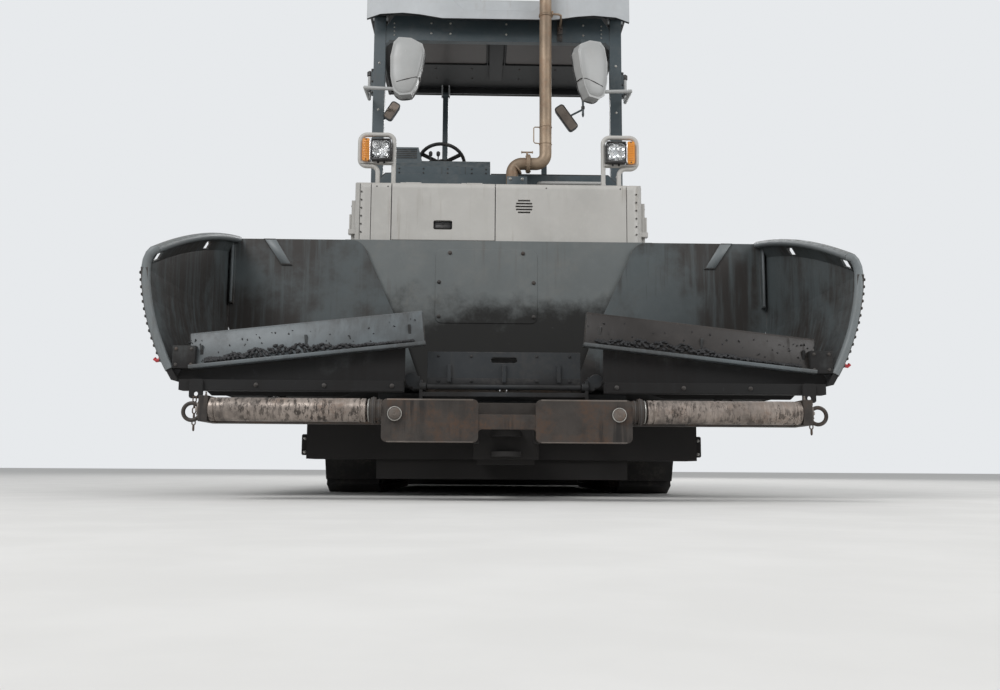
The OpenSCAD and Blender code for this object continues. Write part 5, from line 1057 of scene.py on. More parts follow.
for obj in (pan, back, bead_left):
    twin = link(bpy.data.objects.new(obj.name.replace("left", "right"), obj.data.copy()))
    for v in twin.data.vertices:
        v.co.x += 2 * SEAT_X
    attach(twin, "machine")
    for piece in (obj, twin):
        if obj is not bead_left:
            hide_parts("seat_cushions")

# Seat frames: bellows, slide rails, knobs, arm pads and belts
seat_parts, arm_pads, belts = shapes(3)
for cx in (-SEAT_X, SEAT_X):
    for k in range(7):
        z = FLOOR_Z + 0.1 + k * 0.034
        grow = 0.014 if k % 2 else 0.004
        seat_parts.box((cx - 0.13 - grow, SEAT_Y + 0.06 - grow, z),
                       (cx + 0.13 + grow, SEAT_Y + 0.4 + grow, z + 0.032), 0.01)
    for s in (-1, 1):
        seat_parts.box((cx + s * 0.15, SEAT_Y + 0.02, SEAT_Z - 0.112),
                       (cx + s * 0.18, SEAT_Y + 0.44, SEAT_Z - 0.091), 0.003)
        arm_pads.box((cx + s * 0.245 - 0.027, SEAT_Y + 0.145, SEAT_Z + 0.176),
                     (cx + s * 0.245 + 0.027, SEAT_Y + 0.47, SEAT_Z + 0.204), 0.012, 4)
    seat_parts.bar((cx - 0.16, SEAT_Y + 0.012, SEAT_Z - 0.075), "Y", SEAT_Y - 0.02, 0.03, 20, r=0.004)
    seat_parts.tube([(cx - 0.1, SEAT_Y + 0.03, SEAT_Z - 0.118), (cx - 0.1, SEAT_Y - 0.03, SEAT_Z - 0.122),
                     (cx + 0.1, SEAT_Y - 0.03, SEAT_Z - 0.122),
                     (cx + 0.1, SEAT_Y + 0.03, SEAT_Z - 0.118)], 0.012, 10)
    for s in (-1, 1):
        belts.box((cx + s * 0.222 - 0.007, SEAT_Y + 0.385, SEAT_Z - 0.03),
                  (cx + s * 0.222 + 0.007, SEAT_Y + 0.43, SEAT_Z + 0.085), 0.003)
    belts.box((cx + 0.214, SEAT_Y + 0.38, SEAT_Z + 0.08), (cx + 0.232, SEAT_Y + 0.44, SEAT_Z + 0.118), 0.005)
    seat_parts.bolts((cx - 0.15, cx + 0.15), SEAT_Y + 0.5, [SEAT_Z + z for z in (0.08, 0.26, 0.4)], BEHIND,
                     0.008)
seat_parts.piece("seat_bellows", rubber, "black_plastic")
arm_pads.piece("seat_arm_pads", vinyl, "seat_vinyl", angle=60)
belts.piece("seat_belts", rubber, "black_plastic")

# Console: ridged switch box, sloping panel with display, buttons, levers and key
panel, buttons, levers, screens, knobs = shapes(5)
for k in range(5):
    z = 2.312 + k * 0.015
    panel.box((-0.722, 0.3165, z), (-0.57, 0.32, z + 0.008), 0.0015)
panel.box((-0.722, 0.33, 2.3925), (-0.575, 0.53, 2.3965), 0.0025)
for i in range(4):
    for j in range(3):
        buttons.box((-0.712 + i * 0.034, 0.352 + j * 0.052, 2.3955),
                    (-0.688 + i * 0.034, 0.386 + j * 0.052, 2.4015), 0.003)
slope = shift(0, 0.345, 2.2995) @ turned(-4.77, "X")
panel.box((-0.515, 0.004, 0.0), (-0.07, 0.226, 0.004), 0.0025, matrix=slope)
screens.box((-0.355, 0.035, 0.003), (-0.18, 0.15, 0.0085), 0.003, matrix=slope)
panel.tube([slope @ Vector((x, y, 0.008)) for x, y in round_box(-0.358, 0.032, -0.177, 0.153, 0.012, 4)],
           0.007, 8, True)
for i in range(3):
    for j in range(4):
        x, y = -0.15 + i * 0.028, 0.04 + j * 0.034
        buttons.box((x - 0.01, y - 0.012, 0.003), (x + 0.01, y + 0.012, 0.009), 0.0025, matrix=slope)
for i in range(6):
    knobs.bar((-0.35 + i * 0.034, 0.185, 0.003), "Z", 0.017, 0.02, 18, d2=0.016, r=0.002, matrix=slope)
for x in (-0.48, -0.425):
    y, h = 0.075, 0.095
    for k in range(4):
        levers.lathe([(k * 0.008, 0.021 - k * 0.0035), (k * 0.008 + 0.004, 0.0225 - k * 0.0035),
                      (k * 0.008 + 0.008, 0.018 - k * 0.0035)], 20, slope @ shift(x, y, 0.003))
    levers.cylinder(slope @ Vector((x, y, 0.03)), slope @ Vector((x, y + 0.012, h)), 0.009, 12)
    levers.lathe([(-0.018, 0.006), (-0.014, 0.012), (0, 0.0145), (0.012, 0.013), (0.018, 0.007)], 20,
                 slope @ shift(x, y + 0.013, h))
knobs.bar((-0.48, 0.165, 0.003), "Z", 0.012, 0.026, 20, r=0.002, matrix=slope)
knobs.box((-0.4825, 0.158, 0.012), (-0.4775, 0.172, 0.034), 0.002, matrix=slope)
panel.bolts((-0.69, -0.52, -0.35, -0.18, -0.08), 0.28, (2.195, 2.225), AHEAD, 0.007, False)
for x in (-0.391, -0.225):
    panel.box((x - 0.0015, 0.2788, 2.176), (x + 0.0015, 0.2802, 2.24), 0.0004)
# Column boot under the wheel
boot = shift(-0.41, 0.68, 2.395) @ turned(-40, "X")
levers.lathe([(-0.178, 0.052), (-0.166, 0.056), (-0.158, 0.044), (-0.15, 0.048), (-0.142, 0.036),
              (-0.134, 0.04), (-0.126, 0.028), (-0.11, 0.026)], 28, boot)
panel.piece("console_trims", black_plastic, "black_plastic")
buttons.piece("console_buttons", button_grey, "grey_plastic")
levers.piece("console_levers", rubber, "black_plastic", angle=50)
screens.piece("console_display", display, "liner")
knobs.piece("console_knobs", amber, "amber")

# Wheel: cap, spoke screws, finger grips and a spinner knob
wheel = Shape()
wheel.lathe([(-0.004, 0.033), (0.003, 0.033), (0.009, 0.028), (0.011, 0.018), (0.0115, 0.004)], 32, boot)
for a in (90, 210, 330):
    turn = boot @ turned(a, "Z")
    for u in (0.048, 0.14):
        wheel.disc((-0.007, -0.0035, -0.0025), 0.005, 0.003, 12, turn @ shift(u, 0, 0))
for k in range(36):
    a = radians(10 * k)
    wheel.ring(boot @ Vector((0.17 * cos(a), 0.17 * sin(a), -0.01)),
               boot.to_3x3() @ Vector((-sin(a), cos(a), 0)), 0.0128, 0.0022, 14, 5)
wheel.bar((0.12, 0.12, 0.002), "Z", 0.04, 0.014, 16, matrix=boot)
wheel.lathe([(0.034, 0.012), (0.04, 0.021), (0.056, 0.024), (0.066, 0.02), (0.071, 0.008)], 24,
            boot @ shift(0.12, 0.12, 0))
wheel.piece("wheel_fittings", black_plastic, "black_plastic", "steering_wheel", 50)

# Bulkhead: grab tube and edge seals; platform: bolts, pads and tread
grab, edge_seal, deck_bolts, tread = shapes(4)
grab.tube([(0.3, 0.236, 2.104), (0.3, 0.212, 2.108), (0.31, 0.207, 2.11), (0.726, 0.207, 2.11),
           (0.736, 0.212, 2.108), (0.736, 0.236, 2.104)], 0.024, 14)
for x in (0.3, 0.736):
    grab.bar((x, 0.24, 2.104), "Y", 0.234, 0.05, 24, r=0.002)
edge_seal.tube([(-0.84, 0.26, 2.03), (-0.84, 0.26, 2.115), (-0.78, 0.26, 2.1765), (-0.735, 0.26, 2.1765)],
               0.022, 10)
edge_seal.tube([(-0.045, 0.26, 2.1765), (0.78, 0.26, 2.1765), (0.84, 0.26, 2.115), (0.84, 0.26, 2.03)], 0.022,
               10)
deck_bolts.bolts(steps(-0.77, 0.14, 12), 0.24, 2.02, AHEAD, 0.008)
for s in (-1, 1):
    deck_bolts.bolt((s * 0.912, 0.38, 2.02), (s, 0, 0), 0.012)
    deck_bolts.bolt((s * 0.912, 0.38, 2.1), (s, 0, 0), 0.026)
    deck_bolts.bolts(s * 0.8925, (0.352, 0.408), (1.5, 1.62, 1.78, 1.92), (s, 0, 0), 0.009)
    deck_bolts.bolts(s * 0.935, (0.3, 0.75, 1.2, 1.65), 1.4, (s, 0, 0), 0.009)
    deck_bolts.bolts(s * 0.915, (0.55, 0.85, 1.15, 1.45), 1.66, (s, 0, 0), 0.008)
    for y in (0.511, 1.509):
        edge_seal.bar((s * 0.905, y - 0.01, 1.712), "Y", y + 0.01, 0.029, 18, r=0.003)
LOZENGE = [(-0.017, 0), (-0.006, 0.0042), (0.006, 0.0042), (0.017, 0), (0.006, -0.0042), (-0.006, -0.0042)]


def lozenge(shape, x, y, z, count):
    """One raised mark of a tread, turned the other way at every second count."""
    shape.prism(LOZENGE, shift(x, y, z) @ turned(45 if count % 2 else -45, "Z"), 0.0022)


for i in range(30):
    for j in range(27):
        x, y = -0.865 + i * 0.0597, 0.325 + j * 0.059
        under_seat = abs(abs(x) - SEAT_X) < 0.16 and SEAT_Y + 0.03 < y < SEAT_Y + 0.43
        under_console = x < -0.03 and y < 0.5
        at_front_post = abs(x) > 0.78 and y < 0.44
        at_rear_post = abs(abs(x) - 0.43) < 0.07 and y > 1.74
        if under_seat or under_console or at_front_post or at_rear_post:
            continue
        lozenge(tread, x, y, FLOOR_Z, i + j)
for j in range(2):
    for i in range(9):
        for s in (-1, 1):
            lozenge(tread, s * (0.255 + i * 0.028), 1.795 + j * 0.055, 1.1, i + j)
grab.piece("grab_tube", arm_grey, "grey_plastic", angle=50)
edge_seal.piece("platform_seals", rubber, "black_plastic", angle=50)
deck_bolts.piece("platform_bolts", zinc, "cast")
tread.piece("platform_tread", slate, "slate_paint")

# Engine bay: radiator, ribs, covers, filters and rigid lines round the plain block
engine, radiator, filters, lines = shapes(4)
FILTER_X = 0.575
for k in range(58):
    radiator.box((-0.405 + k * 0.0142, -0.33, 1.13), (-0.4035 + k * 0.0142, -0.315, 1.6), 0)
for z0, z1 in ((1.085, 1.13), (1.6, 1.64)):
    radiator.box((-0.425, -0.338, z0), (0.425, -0.3102, z1), 0.006)
for x in (-0.425, 0.408):
    radiator.box((x, -0.336, 1.1), (x + 0.017, -0.3102, 1.63), 0.004)
radiator.bar((-0.3, -0.322, 1.638), "Z", 1.668, 0.044, 24, r=0.004)
for k in range(4):
    x = -0.285 + k * 0.19
    engine.box((x - 0.08, -0.225, 1.6395), (x + 0.08, -0.045, 1.68), 0.014, 3)
    engine.bar((x, -0.135, 1.679), "Z", 1.69, 0.03, 18, r=0.003)
    engine.bolts(x - 0.055, (-0.21, -0.06), 1.68, UP, 0.008)
    for s in (-1, 1):
        engine.box((s * 0.4398, -0.275 + k * 0.096, 0.95), (s * 0.458, -0.255 + k * 0.096, 1.6), 0.004)
for s in (-1, 1):
    engine.box((s * 0.4398, -0.29, 1.02), (s * 0.47, 0.1, 1.07), 0.006)
    engine.box((s * 0.4398, -0.29, 1.36), (s * 0.47, 0.1, 1.4), 0.006)
    engine.bolts(s * 0.47, steps(-0.27, 0.05, 8), 1.38, (s, 0, 0), 0.008)
filters.bar((FILTER_X, -0.23, 1.3), "Y", 0.08, 0.19, 36, r=0.016)
filters.bar((FILTER_X, -0.262, 1.3), "Y", -0.225, 0.13, 30, r=0.01)
for y in (-0.16, 0.02):
    filters.ring((FILTER_X, y, 1.3), BEHIND, 0.0965, 0.01, 36, 8)
for k in range(2):
    filters.bar((-0.56, -0.19 + k * 0.15, 1.16), "Z", 1.33, 0.096, 28, r=0.012)
    filters.bar((-0.56, -0.19 + k * 0.15, 1.33), "Z", 1.365, 0.112, 28, r=0.006)
filters.box((-0.64, -0.255, 1.365), (-0.4398, 0.03, 1.395), 0.006)
engine.box((0.4398, -0.1, 1.22), (0.5, 0.02, 1.36), 0.01)
engine.box((-0.7, -0.25, 0.8302), (-0.47, 0.05, 0.86), 0.006)
engine.box((0.47, -0.25, 0.8302), (0.7, 0.05, 0.86), 0.006)
filters.box((-0.69, -0.22, 0.86), (-0.49, 0.03, 1.05), 0.012)
for y in (-0.16, -0.03):
    filters.bar((-0.59, y, 1.05), "Z", 1.068, 0.024, 16, r=0.003)
lines.tube([(-0.56, -0.115, 1.38), (-0.56, -0.115, 1.46), (-0.54, -0.115, 1.49), (-0.4398, -0.115, 1.5)],
           0.016, 10)
lines.tube([(-0.5, -0.04, 1.38), (-0.5, -0.04, 1.52), (-0.48, -0.04, 1.55), (-0.4398, -0.04, 1.56)], 0.012,
           10)
lines.tube([(FILTER_X, -0.262, 1.3), (FILTER_X, -0.275, 1.32), (0.56, -0.28, 1.45), (0.5, -0.275, 1.5),
            (0.4398, -0.26, 1.52)], 0.05, 14)
lines.tube([(0.5, -0.04, 1.28), (0.53, -0.04, 1.2), (0.54, -0.04, 0.98), (0.52, -0.04, 0.862)], 0.02, 10)
lines.tube([(0.1, 0.118, 1.6), (0.1, 0.13, 1.64), (0.1, 0.13, 1.898)], 0.07, 18)
engine.piece("engine_covers", cast_iron, "cast")
radiator.piece("radiator_core", dark_bolt, "dark_paint")
filters.piece("engine_filters", black_plastic, "black_plastic", angle=50)
lines.piece("engine_lines", zinc, "cast", angle=50)

# Tracks: a steel plate under each pad, link plates with their pins, and the wheels' fittings
TRACK_Y0, TRACK_Y1, PAD_H, SHOES = -1.15, 1.35, 0.035, 40
IDLER_LOOP, SPROCKET_LOOP = 0.215, 0.29
IDLER_R, SPROCKET_R = IDLER_LOOP - PAD_H, SPROCKET_LOOP - PAD_H
IDLER_Y, SPROCKET_Y = TRACK_Y0 + IDLER_LOOP, TRACK_Y1 - SPROCKET_LOOP
WHEEL_BASE = SPROCKET_Y - IDLER_Y
RISE = atan2(SPROCKET_R - IDLER_R, WHEEL_BASE)
REAR_ARC, FRONT_ARC = SPROCKET_R * (pi + 2 * RISE), IDLER_R * (pi - 2 * RISE)
LOOP = 2 * WHEEL_BASE + REAR_ARC + FRONT_ARC


def loop_at(s):
    """Place and outward direction on the chain line at a length along it, as part.scad has it."""
    s %= LOOP
    top = pi / 2 + 2 * RISE
    if s < WHEEL_BASE:
        return IDLER_Y + s, PAD_H, -pi / 2
    if s < WHEEL_BASE + REAR_ARC:
        a = -pi / 2 + (s - WHEEL_BASE) / SPROCKET_R
        return SPROCKET_Y + SPROCKET_R * cos(a), SPROCKET_LOOP + SPROCKET_R * sin(a), a
    if s < 2 * WHEEL_BASE + REAR_ARC:
        t = s - WHEEL_BASE - REAR_ARC
        return (SPROCKET_Y + SPROCKET_R * cos(top) - t * sin(top),
                SPROCKET_LOOP + SPROCKET_R * sin(top) + t * cos(top), top)
    a = top + (s - 2 * WHEEL_BASE - REAR_ARC) / IDLER_R
    return IDLER_Y + IDLER_R * cos(a), IDLER_LOOP + IDLER_R * sin(a), a


def oval(half, r, n=5):
    """A link plate's outline."""
    points = []
    for cx, a0 in ((half, -90), (-half, 90)):
        for i in range(n + 1):
            a = radians(a0 + 180 * i / n)
            points.append((cx + r * cos(a), r * sin(a)))
    return points


SHOE_PITCH = LOOP / SHOES
for s, side in SIDES:
    plates, links, wheels = shapes(3)
    for i in range(SHOES):
        y, z, a = loop_at((i + 0.5) * SHOE_PITCH)
        # Local axes: x across, y along the chain, z outwards
        along = Vector((0, sin(a), -cos(a)))
        out = Vector((0, cos(a), sin(a)))
        across = along.cross(out)
        turn = Matrix((across, along, out)).transposed().to_4x4()
        place = shift(s * TRACK_X, y, z) @ turn
        plates.box((-0.1425, -SHOE_PITCH * 0.42, -0.006), (0.1425, SHOE_PITCH * 0.42, 0.0035), 0.002, 1,
                   matrix=place)
        for e in (-1, 1):
            flat = place @ shift(e * 0.1395, 0, -0.026) @ SIDE_OF[e]
            links.prism(oval(SHOE_PITCH * 0.36, 0.0145), flat, 0.0035)
            for u in (-SHOE_PITCH * 0.36, SHOE_PITCH * 0.36):
                links.disc((0.003, 0.0058, 0.0066), 0.007, 0.0055, 10, flat @ shift(u, 0, 0))
    for wy, wz, r, teeth in ((IDLER_Y, IDLER_LOOP, 0.1325, 0), (SPROCKET_Y, SPROCKET_LOOP, 0.207, 16)):
        for e in (-1, 1):
            face = standing((s * TRACK_X + e * 0.018, wy, wz), (e, 0, 0))
            wheels.lathe([(0, r - 0.03), (0.01, r - 0.034), (0.01, r * 0.55), (0, r * 0.5)], 40, face)
            for k in range(8):
                wheels.disc((0.008, 0.015, 0.016), 0.008, 0.006, 6, face @ on_circle(r * 0.66, 45 * k + 12))
            if teeth:
                rim = standing((s * TRACK_X + e * 0.03, wy, wz), (e, 0, 0))
                outline = []
                for k in range(teeth * 4):
                    b = 2 * pi * (k + 0.5) / (teeth * 4)
                    rr = r - 0.0005 if k % 4 in (0, 1) else r - 0.015
                    outline.append((rr * cos(b), rr * sin(b)))
                wheels.prism(outline, rim, 0.004)
        cap = standing((s * (TRACK_X + 0.055), wy, wz), (s, 0, 0))
        cr = 0.085 if teeth else 0.046
        wheels.lathe([(-0.001, cr), (0.012, cr), (0.016, cr - 0.006), (0.018, cr * 0.55), (0.024, cr * 0.5),
                      (0.025, cr * 0.3)], 36, cap)
        nuts = 8 if teeth else 5
        for k in range(nuts):
            wheels.disc((0.012, 0.021, 0.022), 0.0065, 0.005, 6, cap @ on_circle(cr * 0.78, 360 * k / nuts))
    for k in range(7):
        ry, rz = IDLER_Y + 0.215 + k * (WHEEL_BASE - 0.525) / 6, 0.1453
        for e in (-1, 1):
            cap = standing((s * TRACK_X + e * 0.114, ry, rz), (e, 0, 0))
            wheels.lathe([(-0.001, 0.052), (0.003, 0.05), (0.0032, 0.034), (0.009, 0.03), (0.012, 0.022),
                          (0.0125, 0.01)], 24, cap)
            wheels.disc((0.011, 0.017, 0.018), 0.01, 0.008, 6, cap)
        wheels.bolt((s * (TRACK_X + 0.055), ry, 0.262), (s, 0, 0), 0.01)
    plates.piece("shoe_plates_" + side, dark_bolt, "cast")
    links.piece("link_plates_" + side, cast_iron, "cast")
    wheels.piece("track_fittings_" + side, cast_iron, "cast")

# Push beam: plate edges, plugs with their rings, roller collars and end fittings
FACE_Y, ROLLER_Y, ROLLER_Z = -2.488, -2.4525, 0.36
rust_dark = bare_steel("plate_edges", (0.19, 0.165, 0.145), dark=(0.045, 0.037, 0.031), rust_amount=0.4,
                       metallic=0.45, roughness=0.45)
edges, plugs, collars, ends = shapes(4)
for s, side in SIDES:
    edges.box((s * 0.135, FACE_Y - 0.0006, 0.3985), (s * 0.48, FACE_Y + 0.044, 0.4056), 0.0025)
    edges.box((s * 0.135, FACE_Y - 0.0006, 0.2325), (s * 0.48, FACE_Y + 0.044, 0.238), 0.0025)
    plug = shift(s * 0.447, FACE_Y - 0.01, 0.345) @ FRONT
    plugs.ring((s * 0.447, FACE_Y - 0.0095, 0.345), BEHIND, 0.027, 0.0045, 44, 8)
    ends.lathe([(-0.001, 0.0235), (0.0012, 0.0235), (0.0018, 0.0225), (0.0018, 0.006), (0.0008, 0.005)], 36,
               plug)
    plugs.ring((s * 0.552, ROLLER_Y, ROLLER_Z), ACROSS, 0.044, 0.006, 48, 8)
    for x, r in ((0.512, 0.043), (0.534, 0.051)):
        collars.ring((s * x, ROLLER_Y, ROLLER_Z), ACROSS, r, 0.008, 48, 8)
    cap = standing((s * 1.2225, ROLLER_Y, ROLLER_Z), (s, 0, 0))
    ends.lathe([(-0.001, 0.036), (0.006, 0.036), (0.008, 0.033), (0.008, 0.0205)], 32, cap, False)
    for k in range(4):
        ends.disc((0.007, 0.011, 0.012), 0.0045, 0.0035, 6, cap @ on_circle(0.029, 90 * k + 45))
    for dy, dz in ((-0.028, -0.03), (0.12, -0.03), (0.12, 0.036), (0.19, 0.0)):
        ends.bolt((s * 1.2225, ROLLER_Y + dy, ROLLER_Z + dz), (s, 0, 0), 0.008)
    ends.bar((s * 1.204, ROLLER_Y, 0.4115), "Z", 0.419, 0.01, 6)
    ends.lathe([(0.0, 0.004), (0.006, 0.003), (0.008, 0.0042), (0.011, 0.003)], 12,
               shift(s * 1.204, ROLLER_Y, 0.419))
    edges.bolts(steps(s * 0.56, s * 0.1, 7), -2.35, 0.355, AHEAD, 0.009)
edges.piece("beam_edges", rust_dark, "worn_steel", "push_beam")
plugs.piece("beam_plugs", zinc, "worn_steel", "push_beam", 50)
collars.piece("roller_collars", dark_bolt, "cast", "push_beam", 50)
ends.piece("beam_end_fittings", rust_dark, "worn_steel", "push_beam")
for s, side in SIDES:
    roll = Shape()
    cap = standing((s * 1.234, ROLLER_Y, ROLLER_Z), (s, 0, 0))
    roll.disc((0, 0.004, 0.005), 0.0125, 0.011, 24, cap)
    roll.disc((0.004, 0.009, 0.01), 0.008, 0.006, 6, cap)
    for x in (0.5655, 1.1815):
        roll.ring((s * x, ROLLER_Y, ROLLER_Z), ACROSS, 0.044, 0.006, 48, 8)
    for k in range(3):
        roll.ring((s * (0.72 + k * 0.155), ROLLER_Y, ROLLER_Z), ACROSS, 0.047, 0.0018, 56, 6)
    roll.piece("roller_rings_" + side, roller_steel, "worn_steel", "push_roller_" + side, 50)

# Coupling: pin head with its ring, and bolts
joint_parts = Shape()
joint_parts.lathe([(-0.001, 0.046), (0.006, 0.046), (0.01, 0.042), (0.013, 0.03), (0.013, 0.004)], 32,
                  shift(0, -2.12, 0.332))
joint_parts.ring((0, -2.12, 0.359), ACROSS, 0.018, 0.007, 24, 8)
joint_parts.bolts((-0.085, 0.085), (-2.235, -2.165), 0.332, UP, 0.01)
joint_parts.bolts((-0.095, 0.095), (-2.33, -2.29), 0.31, UP, 0.009)
joint_parts.piece("coupling_fittings", dark_bolt, "cast", "push_beam")

# Apron: rubber strip and rib bolts
strip = Shape()
strip.box((-0.348, -1.9475, 0.5105), (0.348, -1.9452, 0.54), 0.001)
strip.bolts((-0.3, -0.15, 0.15, 0.3), -1.9475, 0.526, AHEAD, 0.007)
strip.bolts((-0.3, -0.15, 0.15, 0.3), -1.945, 0.64, AHEAD, 0.006)
strip.piece("apron_strip", rubber, "black_plastic", "apron")

# Front box and body: bolts, hatches with latches, filler cap and gauge
body_bolts, hatches, caps = shapes(3)
for s in (-1, 1):
    body_bolts.bolts(s * 0.946, -1.66, (0.205, 0.27), AHEAD, 0.007)
    for y0 in (0.31, 0.74):
        body_bolts.bolts(s * 0.852, (y0 + 0.016, y0 + 0.314), (1.096, 1.274), (s, 0, 0), 0.007)
        hatches.prism(round_box(y0 + 0.035, 1.11, y0 + 0.295, 1.26, 0.012), facing_side(s * 0.8515, s), 0.004,
                      0.0015)
        hatches.prism(round_box(y0 + 0.15, 1.225, y0 + 0.18, 1.245, 0.004), facing_side(s * 0.855, s), 0.006,
                      0.002)
        for k in range(4):
            z = 1.125 + k * 0.02
            hatches.box((s * 0.855, y0 + 0.055, z), (s * 0.8585, y0 + 0.275, z + 0.007), 0.0015)
    for k in range(11):
        y = -0.24 + k * 0.145
        body_bolts.bolt((s * 0.84, y, 0.672), (s, 0, 0), 0.009)
        if abs(y + 0.4) > 0.1:
            body_bolts.bolt((s * 0.84, y, 0.845), (s, 0, 0), 0.008)
    if s < 0:
        caps.lathe([(-0.001, 0.036), (0.018, 0.036), (0.024, 0.045), (0.044, 0.045), (0.048, 0.04)], 32,
                   standing((s * 0.84, 0.69, 1.2), (s, 0, 0)))
        for k in range(12):
            y, z = 0.69 + 0.045 * cos(radians(30 * k)), 1.2 + 0.045 * sin(radians(30 * k))
            caps.bar((s * 0.866, y, z), "X", s * 0.882, 0.008, 8)
    else:
        caps.box((0.8395, 0.68, 1.1), (0.85, 0.704, 1.3), 0.004)
        for z in (1.125, 1.275):
            caps.bar((0.85, 0.692, z), "X", 0.856, 0.012, 14, r=0.002)
    caps.bar((s * 0.84, 1.2, 0.9), "X", s * 0.85, 0.05, 24, r=0.003)
body_bolts.bolts(steps(-0.4, 0.16, 6), 1.3, (0.9, 1.3), BEHIND, 0.009)
body_bolts.piece("body_bolts", zinc, "cast")
hatches.piece("tank_hatches", slate, "slate_paint")
caps.piece("tank_fittings", black_plastic, "black_plastic", angle=50)

# Conveyors: bolts on the slats and rollers along the chains
slat_bolts, chain_rollers = shapes(2)
for s in (-1, 1):
    for i in range(21):
        y = -1.84 + i * 0.15 + 0.011
        for x in (0.075, 0.3):
            slat_bolts.disc((-0.001, 0.004, 0.005), 0.0075, 0.0055, 6, shift(s * x, y, 0.505))
    for x in (0.047, 0.335):
        for i in range(62):
            y = -1.845 + i * 0.05
            chain_rollers.bar((s * (x - 0.0185), y, 0.4965), "X", s * (x + 0.0185), 0.016, 8)
slat_bolts.piece("slat_bolts", dark_bolt, "cast")
chain_rollers.piece("conveyor_rollers", cast_iron, "cast")

# Wings' rim tubes, light brace strips, rim bolts, cylinder glands and pins
RIM_C, RIM_R = (0.7232, -6.212), 7.836
rim_paint = worn_paint("rim_paint", (0.185, 0.205, 0.212), 0.42, dust=(0.2, 0.17, 0.14), dust_amount=0.35,
                       wear=0.7, bare=(0.13, 0.1, 0.08), streaks=0.3, streak_colour=(0.05, 0.042, 0.036))


def glands(shape, base, rings, bore):
    """Raised rings round a cylinder: where each starts and ends, and its radius."""
    for u0, u1, r in rings:
        shape.lathe([(u0, bore), (u0 + 0.002, r), (u1 - 0.002, r), (u1, bore)], 36, base)


def pipe_beside(shape, root, way, up, points, d):
    """A pipe beside a cylinder: each point is a length along it and a height over its line."""
    shape.tube([root + way * u + up * h for u, h in points], d, 10)


for s, side in SIDES:
    strips, clamps = shapes(2)
    brace = [(1.344, 1.494), (1.412, 1.494), (1.312, 1.346), (1.253, 1.346)]
    strips.prism([(s * x, z) for x, z in (brace if s > 0 else brace[::-1])], facing_front(-0.5998), 0.0016,
                 0.0005)
    strips.box((s * 1.587, -0.6415, 1.105), (s * 1.601, -0.6395, 1.465), 0.0008)
    line = []
    for k in range(41):
        y = -2.046 + k * (1.462 / 40)
        z = RIM_C[1] + sqrt(RIM_R ** 2 - (y - RIM_C[0]) ** 2)
        radial = Vector((y - RIM_C[0], z - RIM_C[1])).normalized()
        line.append((y, z, radial))
    rim = [Vector((s * 1.573, y - 0.0185 * r[0], z - 0.0185 * r[1])) for y, z, r in line]
    corner = [rim[0] + Vector((s * x, y, z)) for x, y, z in
              ((0.044, 0.009, -0.08), (0.039, 0.006, -0.048), (0.027, 0.003, -0.02), (0.012, 0.001, -0.004))]
    edge = [Vector((s * (belly_x(z) - 0.0165), -2.036, z)) for z in (0.56 + k * 0.04 for k in range(11))]
    strips.tube(edge + corner + rim, 0.04, 14)
    for k in range(2, 40, 3):
        y, z, r = line[k]
        at = (s * 1.606, y - 0.054 * r[0], z - 0.054 * r[1])
        clamps.bolt(at, (s * 0.834, 0.552 * r[0], 0.552 * r[1]), 0.008)
    strips.piece("wing_strips_" + side, rim_paint, "wing_paint", "wing_" + side)
    clamps.piece("rim_bolts_" + side, dark_bolt, "cast", "wing_" + side)
    # Wing cylinder: gland, ports and pin caps
    root, angle = Vector((s * 0.63, -1.39, 0.235)), radians(23.583)
    way = Vector((s * cos(angle), 0, sin(angle)))
    up = Vector((-s * sin(angle), 0, cos(angle)))
    gland, rod_end = shapes(2)
    glands(gland, standing(root, way), ((0.05, 0.066, 0.035), (0.4, 0.436, 0.0362)), 0.0332)
    for u in (0.085, 0.385):
        gland.cylinder(root + way * u + up * 0.032, root + way * u + up * 0.046, 0.022, 6)
    pipe_beside(gland, root, way, up, ((0.085, 0.044), (0.085, 0.056), (0.1, 0.06), (0.37, 0.06),
                                       (0.385, 0.056), (0.385, 0.044)), 0.01)
    gland.piece("wing_gland_" + side, dark_bolt, "cast", "wing_barrel_" + side, 50)
    rod_end.lathe([(-0.017, 0.013), (-0.0145, 0.02), (-0.0142, 0.015)], 28,
                  standing(root + way * 0.5674, BEHIND))
    rod_end.lathe([(0.533, 0.0183), (0.535, 0.0225), (0.547, 0.0225), (0.549, 0.0183)], 28,
                  standing(root, way))
    rod_end.piece("wing_rod_end_" + side, zinc, "rod_chrome", "wing_rod_" + side, 50)

# Tow arms, levelling pins, lift cylinders
arm_parts, pin_parts, lift_parts = shapes(3)
for s in (-1, 1):
    for z0, z1 in ((0.647, 0.662), (0.778, 0.793)):
        arm_parts.box((s * 0.9045, -0.3, z0), (s * 0.911, 1.395, z1), 0.0025)
    arm_parts.bolts(s * 0.905, steps(-0.24, 0.145, 12), 0.72, (s, 0, 0), 0.01)
    for y, z in ((1.56, 0.6), (1.7, 0.52), (1.8, 0.46), (1.88, 0.43)):
        arm_parts.bolt((s * 0.905, y, z - 0.02), (s, 0, 0), 0.013)
    pin = standing((s * 0.917, -0.4, 0.72), (s, 0, 0))
    pin_parts.lathe([(-0.004, 0.042), (0.004, 0.042), (0.006, 0.039), (0.006, 0.01)], 32, pin)
    for k in range(3):
        pin_parts.disc((0.005, 0.01, 0.011), 0.006, 0.0045, 6, pin @ on_circle(0.022, 120 * k + 90))
    pin_parts.disc((0, 0.009, 0.01), 0.018, 0.016, 6, shift(s * 0.862, -0.4, 0.85))
arm_parts.piece("arm_fittings", slate, "slate_paint", "screed")
pin_parts.piece("pin_fittings", dark_bolt, "cast", "tow_sliders")
LIFT_X, LIFT_ROOT, LIFT_EYE = 0.76, Vector((0, 1.58, 1.345)), Vector((0, 1.86, 0.5))
